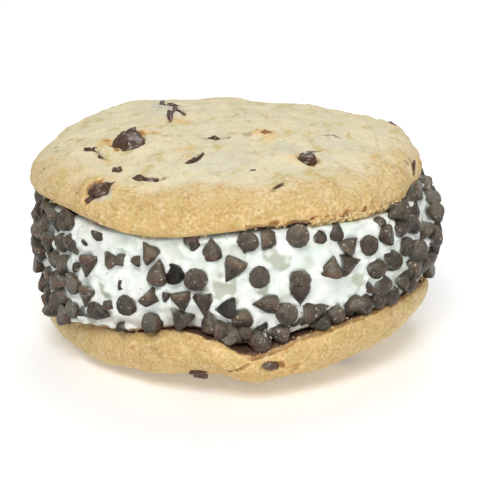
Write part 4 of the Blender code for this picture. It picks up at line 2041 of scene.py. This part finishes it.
UPPER_STAINS = (
    Stain(Spot(191, 27.2), 2.6 * MM, caramel=1.0),
    Stain(Spot(198, 28), 2.0 * MM, caramel=0.7),
    Stain(Spot(189, 19.4), 2.6 * MM, caramel=1.2),
    Stain(Spot(183, 19.8), 2.6 * MM, caramel=0.5),
    Stain(Spot(215, 27), 7.0 * MM, rise=-1.4 * MM),
    Stain(Spot(306, 31), 4.4 * MM, rise=-0.8 * MM),
    Stain(Spot(190, 16.5), 2.0 * MM, caramel=0.8),
    Stain(Spot(216, 31.5), 3.0 * MM, caramel=0.4),
    Stain(Spot(243, 16.5), 3.2 * MM, caramel=0.45),
    Stain(Spot(240, 18.5), 2.4 * MM, caramel=0.35),
    Stain(Spot(250, 22.5), 2.2 * MM, caramel=0.35),
    Stain(Spot(148, 11.5), 4.0 * MM, caramel=0.5),
    Stain(Spot(141, 14.5), 3.4 * MM, caramel=0.45),
    Stain(Spot(229.5, 45), 1.8 * MM, caramel=0.9),
    Stain(Spot(234, 42.5), 2.2 * MM, film=0.8),
    Stain(Spot(322, 12.5), 2.4 * MM, caramel=0.4),
    Stain(Spot(336, 9.7), 2.8 * MM, caramel=1.0, rise=0.5 * MM, brown=0.97),
    Stain(Spot(330, 7.5), 2.4 * MM, caramel=0.4),
    Stain(Spot(322, 6.0), 2.2 * MM, smear=0.35),
    Stain(Spot(305, 27), 2.4 * MM, caramel=0.55),
    Stain(Spot(338, 14), 2.4 * MM, caramel=0.25),
    Stain(Spot(353, 14.5), 2.4 * MM, caramel=0.3),
    Stain(Spot(355, 45.5), 3.0 * MM, caramel=0.7),
    Stain(Spot(312, 47.9), 1.5 * MM, caramel=1.6, rough=0.5 * MM, brown=0.92),
    Stain(Spot(305.5, 48.4), 1.7 * MM, caramel=1.6, rough=0.8 * MM, brown=0.91),
    Stain(Spot(303, 49), 1.3 * MM, caramel=1.6, brown=0.92),
    Stain(Spot(295, 49), 1.6 * MM, caramel=1.6, rough=0.6 * MM, brown=0.92),
    Stain(Spot(299, 48.4), 2.6 * MM, caramel=0.2, rough=0.9 * MM),
    Stain(Spot(308, 48), 2.6 * MM, rough=0.9 * MM),
    Stain(Spot(316, 47.6), 2.6 * MM, caramel=0.2, rough=0.6 * MM),
    Stain(Spot(293, 47.4), 2.4 * MM, caramel=0.7),
    Stain(Spot(287, 49.6), 2.0 * MM, caramel=1.5, brown=0.9),
    Stain(Spot(283, 49.8), 2.4 * MM, caramel=1.5, brown=0.9),
    Stain(Spot(277, 50), 2.4 * MM, caramel=1.4, brown=0.9),
    Stain(Spot(306, 21.5), 4.4 * MM, film=0.55),
    Stain(Spot(313, 19.5), 3.4 * MM, film=0.6),
    Stain(Spot(128, 22), 6.0 * MM, film=0.45, rise=0.3 * MM),
    Stain(Spot(119, 28), 4.6 * MM, film=1.0),
    Stain(Spot(121, 25), 4.0 * MM, smear=0.16),
    Stain(Spot(266, 24), 8.0 * MM, film=0.5, rise=0.5 * MM),
    Stain(Spot(345, 25), 6.0 * MM, film=0.4),
    Stain(Spot(125, 8.5), 4.0 * MM, film=0.3),
    Stain(Spot(258, 8), 5.0 * MM, film=0.4),
    Stain(Spot(318, 29), 5.0 * MM, film=0.3),
    Stain(Spot(301, 23), 6.0 * MM, rise=0.7 * MM),
    Stain(Spot(180, 38.5), 0.7 * MM, smear=0.6),
    Stain(Spot(198, 39.5), 0.7 * MM, smear=0.6),
    Stain(Spot(199, 43), 0.8 * MM, smear=0.6),
    Stain(Spot(344, 42.5), 1.2 * MM, smear=0.4),
)

LOWER_CREASES = (
    Crease(
        (Spot(273, 48.5), Spot(270, 46.5), Spot(267, 44)), 0.3 * MM, 0.6 * MM,
        dark=0.25, caramel=0.9,
    ),
)

LOWER_STAINS = (
    Stain(Spot(267, 38), 13.0 * MM, rise=-1.7 * MM),
    Stain(Spot(274, 51.2), 1.8 * MM, brown=0.95),
    Stain(Spot(281.8, 45.8), 1.5 * MM, caramel=1.4, brown=0.9),
    Stain(Spot(286, 42.8), 3.4 * MM, caramel=0.8, rough=0.5 * MM),
    Stain(Spot(238, 47.5), 2.2 * MM, caramel=0.75),
    Stain(Spot(256, 46.5), 1.6 * MM, caramel=0.5),
    Stain(Spot(250, 43.5), 1.6 * MM, caramel=0.5, rough=0.5 * MM),
    Stain(Spot(266, 50), 3.4 * MM, caramel=0.5),
    Stain(Spot(293, 49), 4.0 * MM, caramel=0.35),
)

ICY_PATCHES = (
    IcyPatch(266, 26.0, 5.6),
    IcyPatch(281, 31.8, 4.4, 0.5 * MM),
    IcyPatch(277, 26.0, 2.6),
    IcyPatch(231, 22.5, 3.2),
    IcyPatch(306, 25.0, 3.4),
)

SET_CHIPS = (
    MiniChip(232, 29.5, Nib.UP_LEFT),
    MiniChip(237, 31.0, Nib.UP, Make.CRUMB, sunk=-0.4),
    MiniChip(240, 29.8, Nib.LEFT, Make.CRUMB),
    MiniChip(245, 32.5, Nib.UP_LEFT, Make.HOOKED),
    MiniChip(257, 36.0, Nib.DOWN, sunk=0.6),
    MiniChip(263, 34.3, Nib.UP),
    MiniChip(248, 28.3, Nib.UP, sunk=-0.2),
    MiniChip(253.5, 28.3, Nib.IN_RIGHT, shade=1.0),
    MiniChip(259, 28.0, Nib.IN, sunk=-0.2),
    MiniChip(246.5, 22.2, Nib.DOWN_RIGHT, Make.BLUNT),
    MiniChip(249.5, 22.6, Nib.DOWN, Make.CRUMB),
    MiniChip(255, 23.0, Nib.DOWN, tilt=15),
    MiniChip(261, 23.0, Nib.DOWN),
    MiniChip(254, 19.0, Nib.UP_LEFT),
    MiniChip(262.5, 18.5, Nib.UP, sunk=-0.3),
    MiniChip(266.5, 16.3, Nib.RIGHT, shade=0.3),
    MiniChip(246, 16.8, Nib.IN_RIGHT, shade=0.3),
    MiniChip(238.5, 20.3, Nib.IN),
    MiniChip(237, 25.5, Nib.UP, Make.CRUMB, sunk=0.2),
    MiniChip(235.5, 15.5, Nib.UP, Make.CRUMB, shade=0.6),
    MiniChip(273, 36.0, Nib.IN, sunk=0.2),
    MiniChip(279, 37.5, Nib.RIGHT, Make.BLUNT),
    MiniChip(287, 36.5, Nib.IN),
    MiniChip(270, 33.2, Nib.LEFT, Make.CRUMB, sunk=0.3),
    MiniChip(269, 30.5, Nib.DOWN, tilt=-24),
    MiniChip(276, 28.5, Nib.IN, sunk=-0.3),
    MiniChip(287, 28.3, Nib.UP, Make.BLUNT, shade=0.3),
    MiniChip(287, 24.3, Nib.DOWN),
    MiniChip(278, 22.5, Nib.LEFT),
    MiniChip(283, 20.4, Nib.IN, sunk=-0.4),
    MiniChip(271.3, 20.0, Nib.IN_UP, sunk=-0.6),
    MiniChip(267, 21.5, Nib.LEFT, shade=0.9, sunk=0.3),
    MiniChip(271, 16.0, Nib.LEFT, shade=0.4),
    MiniChip(275.5, 15.5, Nib.UP, sunk=-0.4),
    MiniChip(277.5, 18.6, Nib.UP_RIGHT, Make.CRUMB, shade=0.9),
    MiniChip(281, 15.6, Nib.LEFT),
    MiniChip(287, 16.3, Nib.LEFT, Make.SPLIT),
    MiniChip(290.5, 20.0, Nib.RIGHT, Make.HOOKED),
    MiniChip(296, 29.5, Nib.UP, tilt=-12, sunk=-0.3),
    MiniChip(301.5, 29.0, Nib.RIGHT, Make.HOOKED),
    MiniChip(294, 37.8, Nib.UP, Make.CRUMB, sunk=0.5),
    MiniChip(300, 37.4, Nib.UP, Make.SPLIT, sunk=0.5),
    MiniChip(302.5, 33.0, Nib.UP_RIGHT),
    MiniChip(309, 32.2, Nib.IN),
    MiniChip(315, 33.3, Nib.IN_LEFT),
    MiniChip(310, 27.0, Nib.LEFT, Make.BLUNT, shade=0.3),
    MiniChip(310, 24.0, Nib.UP, Make.CRUMB),
    MiniChip(314, 22.0, Nib.DOWN_LEFT, shade=0.4),
    MiniChip(317, 27.0, Nib.IN_DOWN, Make.BLUNT, sunk=0.3, shade=0.5),
    MiniChip(304.5, 20.5, Nib.IN_UP, sunk=-0.3),
    MiniChip(309.5, 19.6, Nib.RIGHT),
    MiniChip(297, 18.6, Nib.LEFT),
    MiniChip(292.5, 16.8, Nib.LEFT, shade=0.7),
    MiniChip(228, 17.0, Nib.RIGHT),
    MiniChip(231.5, 20.3, Nib.UP, Make.CRUMB),
    # The crowded left end.
    MiniChip(204, 36.8, Nib.IN_UP, shade=0.3),
    MiniChip(213, 37.5, Nib.LEFT, shade=0.5),
    MiniChip(228, 37.3, Nib.LEFT, Make.CRUMB, shade=0.6),
    MiniChip(195, 35.5, Nib.UP_LEFT),
    MiniChip(188, 32.0, Nib.LEFT, sunk=-0.8),
    MiniChip(207, 33.5, Nib.DOWN),
    MiniChip(216, 34.8, Nib.IN_DOWN, sunk=-0.3),
    MiniChip(199, 31.5, Nib.UP),
    MiniChip(190, 27.5, Nib.IN_LEFT, sunk=-0.8),
    MiniChip(202, 27.5, Nib.DOWN),
    MiniChip(210, 29.0, Nib.IN_LEFT),
    MiniChip(217.5, 29.8, Nib.DOWN_RIGHT),
    MiniChip(223, 31.5, Nib.OUT, sunk=0.7),
    MiniChip(205.5, 24.5, Nib.LEFT),
    MiniChip(196, 23.5, Nib.DOWN, sunk=-0.6),
    MiniChip(220, 26.5, Nib.UP, Make.CRUMB, shade=0.5),
    MiniChip(225, 27.3, Nib.DOWN, Make.HOOKED),
    MiniChip(211, 21.8, Nib.UP, sunk=-0.3),
    MiniChip(200, 19.8, Nib.LEFT),
    MiniChip(191, 20.0, Nib.IN, sunk=-0.4),
    MiniChip(218, 21.6, Nib.IN),
    MiniChip(223.5, 19.8, Nib.DOWN),
    MiniChip(190, 15.5, Nib.UP_LEFT),
    MiniChip(197.5, 15.3, Nib.LEFT),
    MiniChip(205, 14.7, Nib.IN_LEFT, shade=0.4),
    MiniChip(216, 15.2, Nib.IN),
    MiniChip(210.5, 16.8, Nib.DOWN_LEFT),
    MiniChip(221.5, 16.4, Nib.UP, Make.CRUMB, sunk=0.3),
    # The crowded right end.
    MiniChip(316.5, 37.0, Nib.UP_RIGHT, Make.CRUMB, sunk=-0.3),
    MiniChip(323, 38.4, Nib.LEFT, sunk=-0.2),
    MiniChip(331, 40.0, Nib.UP, sunk=0.3),
    MiniChip(338.5, 40.0, Nib.LEFT, sunk=0.4),
    MiniChip(344.5, 38.6, Nib.IN),
    MiniChip(352, 39.5, Nib.IN_UP, sunk=0.3),
    MiniChip(323, 33.5, Nib.IN_UP, shade=0.3),
    MiniChip(325, 29.0, Nib.IN),
    MiniChip(336.5, 35.3, Nib.UP, shade=0.6),
    MiniChip(338, 30.6, Nib.IN_UP, sunk=-0.7),
    MiniChip(346, 32.5, Nib.IN_RIGHT, sunk=-1.3),
    MiniChip(337, 25.5, Nib.UP, Make.SPLIT),
    MiniChip(346, 26.0, Nib.DOWN, sunk=-0.9),
    MiniChip(333.5, 22.5, Nib.LEFT, sunk=-0.3),
    MiniChip(324, 22.3, Nib.UP_RIGHT, sunk=-0.3),
    MiniChip(319, 18.8, Nib.LEFT, shade=0.5),
    MiniChip(330, 19.0, Nib.LEFT),
    MiniChip(341, 20.8, Nib.DOWN_LEFT),
    # The lowest row, which rests on the lower cookie's rim.
    MiniChip(263, 15.5, Nib.LEFT, shade=0.2),
    MiniChip(268, 14.0, Nib.IN_DOWN, Make.BLUNT, shade=0.3),
    MiniChip(271.5, 13.2, Nib.DOWN_RIGHT, Make.SPLIT, sunk=0.3, shade=0.4),
    MiniChip(276.5, 12.6, Nib.UP, Make.HOOKED, sunk=-0.2),
    MiniChip(284.5, 14.6, Nib.UP, Make.CRUMB, sunk=-0.3, shade=0.5),
    MiniChip(297.5, 15.6, Nib.LEFT, Make.BLUNT, shade=0.3),
    MiniChip(308, 17.4, Nib.LEFT, sunk=0.3, shade=0.5),
    MiniChip(303, 17.3, Nib.LEFT, Make.CRUMB, shade=0.6),
    MiniChip(313, 18.3, Nib.LEFT, sunk=0.2, shade=0.4),
)

LOWER_CRUMBS = (Litter((0, 360), (47.0, 51.5), 200, (0.3, 0.7)),)

UPPER_CRUMBS = (
    Litter((294, 330), (48.5, 51.2), 150, (0.5, 1.5)),
    Litter((0, 360), (47.5, 51.2), 200, (0.3, 0.8)),
)

LOWER_SHARDS = (Litter((0, 180), (12.0, 47.0), 14, (0.8, 2.0)),)

UPPER_SHARDS = (Litter((15, 165), (45.5, 49.5), 9, (0.6, 1.5)),)

LOWER_SLIVERS = (Sliver(Spot(255.5, 39.6), Spot(260.5, 39.6), 1.1, proud=0.2),)

UPPER_SLIVERS = (
    Sliver(Spot(199, 33.2), Spot(203, 31.8), 1.7, proud=0.2),
    Sliver(Spot(208, 31.0), Spot(211, 31.2), 1.0),
    Sliver(Spot(227.3, 35.2), Spot(230.3, 33.8), 1.5, proud=0.2),
    Sliver(Spot(228.5, 34.6), Spot(227.6, 32.8), 0.9, proud=0.3),
    Sliver(Spot(238, 35.0), Spot(242.5, 35.2), 2.0, proud=0.2),
    Sliver(Spot(241, 34.9), Spot(247, 33.8), 0.8),
    Sliver(Spot(231, 42.0), Spot(234, 38.6), 1.2, proud=0.25),
    Sliver(Spot(231, 43.5), Spot(230, 46.0), 1.2, proud=0.2),
    Sliver(Spot(252.8, 26.0), Spot(254.6, 22.8), 1.4, proud=0.35),
    Sliver(Spot(254.4, 23.4), Spot(257.5, 20.0), 0.9, proud=0.4),
    Sliver(Spot(253, 10.0), Spot(262, 6.5), 1.8, proud=0.05),
    Sliver(Spot(241, 9.2), Spot(248, 6.8), 0.5),
    Sliver(Spot(262, 7.5), Spot(272, 6.3), 0.7),
    Sliver(Spot(121, 30.5), Spot(115, 36.5), 1.4, proud=0.0),
    Sliver(Spot(115, 36.5), Spot(115, 30.5), 0.9, proud=0.0),
    Sliver(Spot(117, 26.0), Spot(131, 19.6), 1.0, proud=0.0),
    Sliver(Spot(130, 20.5), Spot(154, 14.2), 1.5, proud=0.0),
    Sliver(Spot(118, 25.0), Spot(124, 17.0), 0.5),
    Sliver(Spot(284, 40.2), Spot(288, 38.3), 0.5),
    Sliver(Spot(279.5, 30.1), Spot(282.5, 29.9), 0.35),
    Sliver(Spot(317, 24.4), Spot(324, 25.6), 0.6, proud=0.3),
    Sliver(Spot(350, 22.0), Spot(356, 24.6), 0.5),
    Sliver(Spot(356, 24.4), Spot(352, 26.4), 0.6),
    Sliver(Spot(349, 43.2), Spot(345, 45.8), 0.9, proud=0.3),
)


def main() -> None:
    """Build every piece of the sandwich and the studio round it."""
    logging.basicConfig(level=logging.INFO, format="%(relativeCreated)6d ms  %(message)s")
    # Dry baked flour and butter, which is matt, mealy and pitted.
    dough = BakedDough("Butter cookie dough, oven baked", 0.78, 1.45).material()
    # Frozen cream with air churned in, which looks wet and lets light a little way in.
    vanilla = Vanilla("Vanilla ice cream, churned", 0.38, 1.35).material()
    # Chips dropped in soft lumps, whose skins have gone dull and gritty with cocoa dust.
    chip_chocolate = Chocolate("Dark chocolate, dropped chips", 0.4, 1.47).material()
    # Chunks broken off a bar, whose clean faces are browner, smoother and catch the light.
    chunk_chocolate = Chocolate(
        "Dark chocolate, broken chunks", 0.24, 1.47,
        dark="#46342A", bloom="#5E4A3C", red="#55301F", grit_size=1.2 * MM, grit_depth=0.15 * MM,
        sugar_and_glint_share=0.0, grain_share=0.12,
    ).material()
    lower = Cookie(
        "cookie_bottom", LOWER_FORM, LOWER_CHUNKS, LOWER_CREASES, LOWER_STAINS,
        seed=13.0, pale_reach=0.55, scorch=0.85 * MM,
    )
    upper = Cookie(
        "cookie_top", UPPER_FORM, UPPER_CHUNKS, UPPER_CREASES, UPPER_STAINS,
        seed=29.0, pale_reach=0.86,
    )
    crumbs = Bits("cookie_crumbs", "cookie", 71)
    shards = Bits("chunk_shards", "chunks", 83, fineness=2, bluntness=0.7)
    for cookie, crumb_litter, shard_litter, slivers in (
        (lower, LOWER_CRUMBS, LOWER_SHARDS, LOWER_SLIVERS),
        (upper, UPPER_CRUMBS, UPPER_SHARDS, UPPER_SLIVERS),
    ):
        baked = cookie.build(dough)
        cookie.build_chunks(chunk_chocolate)
        for litter in crumb_litter:
            crumbs.strew(baked, cookie.form, litter)
        for litter in shard_litter:
            shards.strew(baked, cookie.form, litter)
        for sliver in slivers:
            shards.lay(baked, cookie.form, sliver)
    crumbs.build(dough)
    shards.build(chunk_chocolate)
    cream = IceCream(UPPER_FORM, LOWER_FORM, ICY_PATCHES)
    coat = ChipCoat(cream, SET_CHIPS)
    coat.scatter()
    LOG.info("%d mini chips", len(coat.chips))
    cream.build(vanilla, np.array([coat.seat(chip) for chip in coat.chips]))
    coat.build(chip_chocolate)
    Studio().build()


if __name__ == "__main__":
    main()
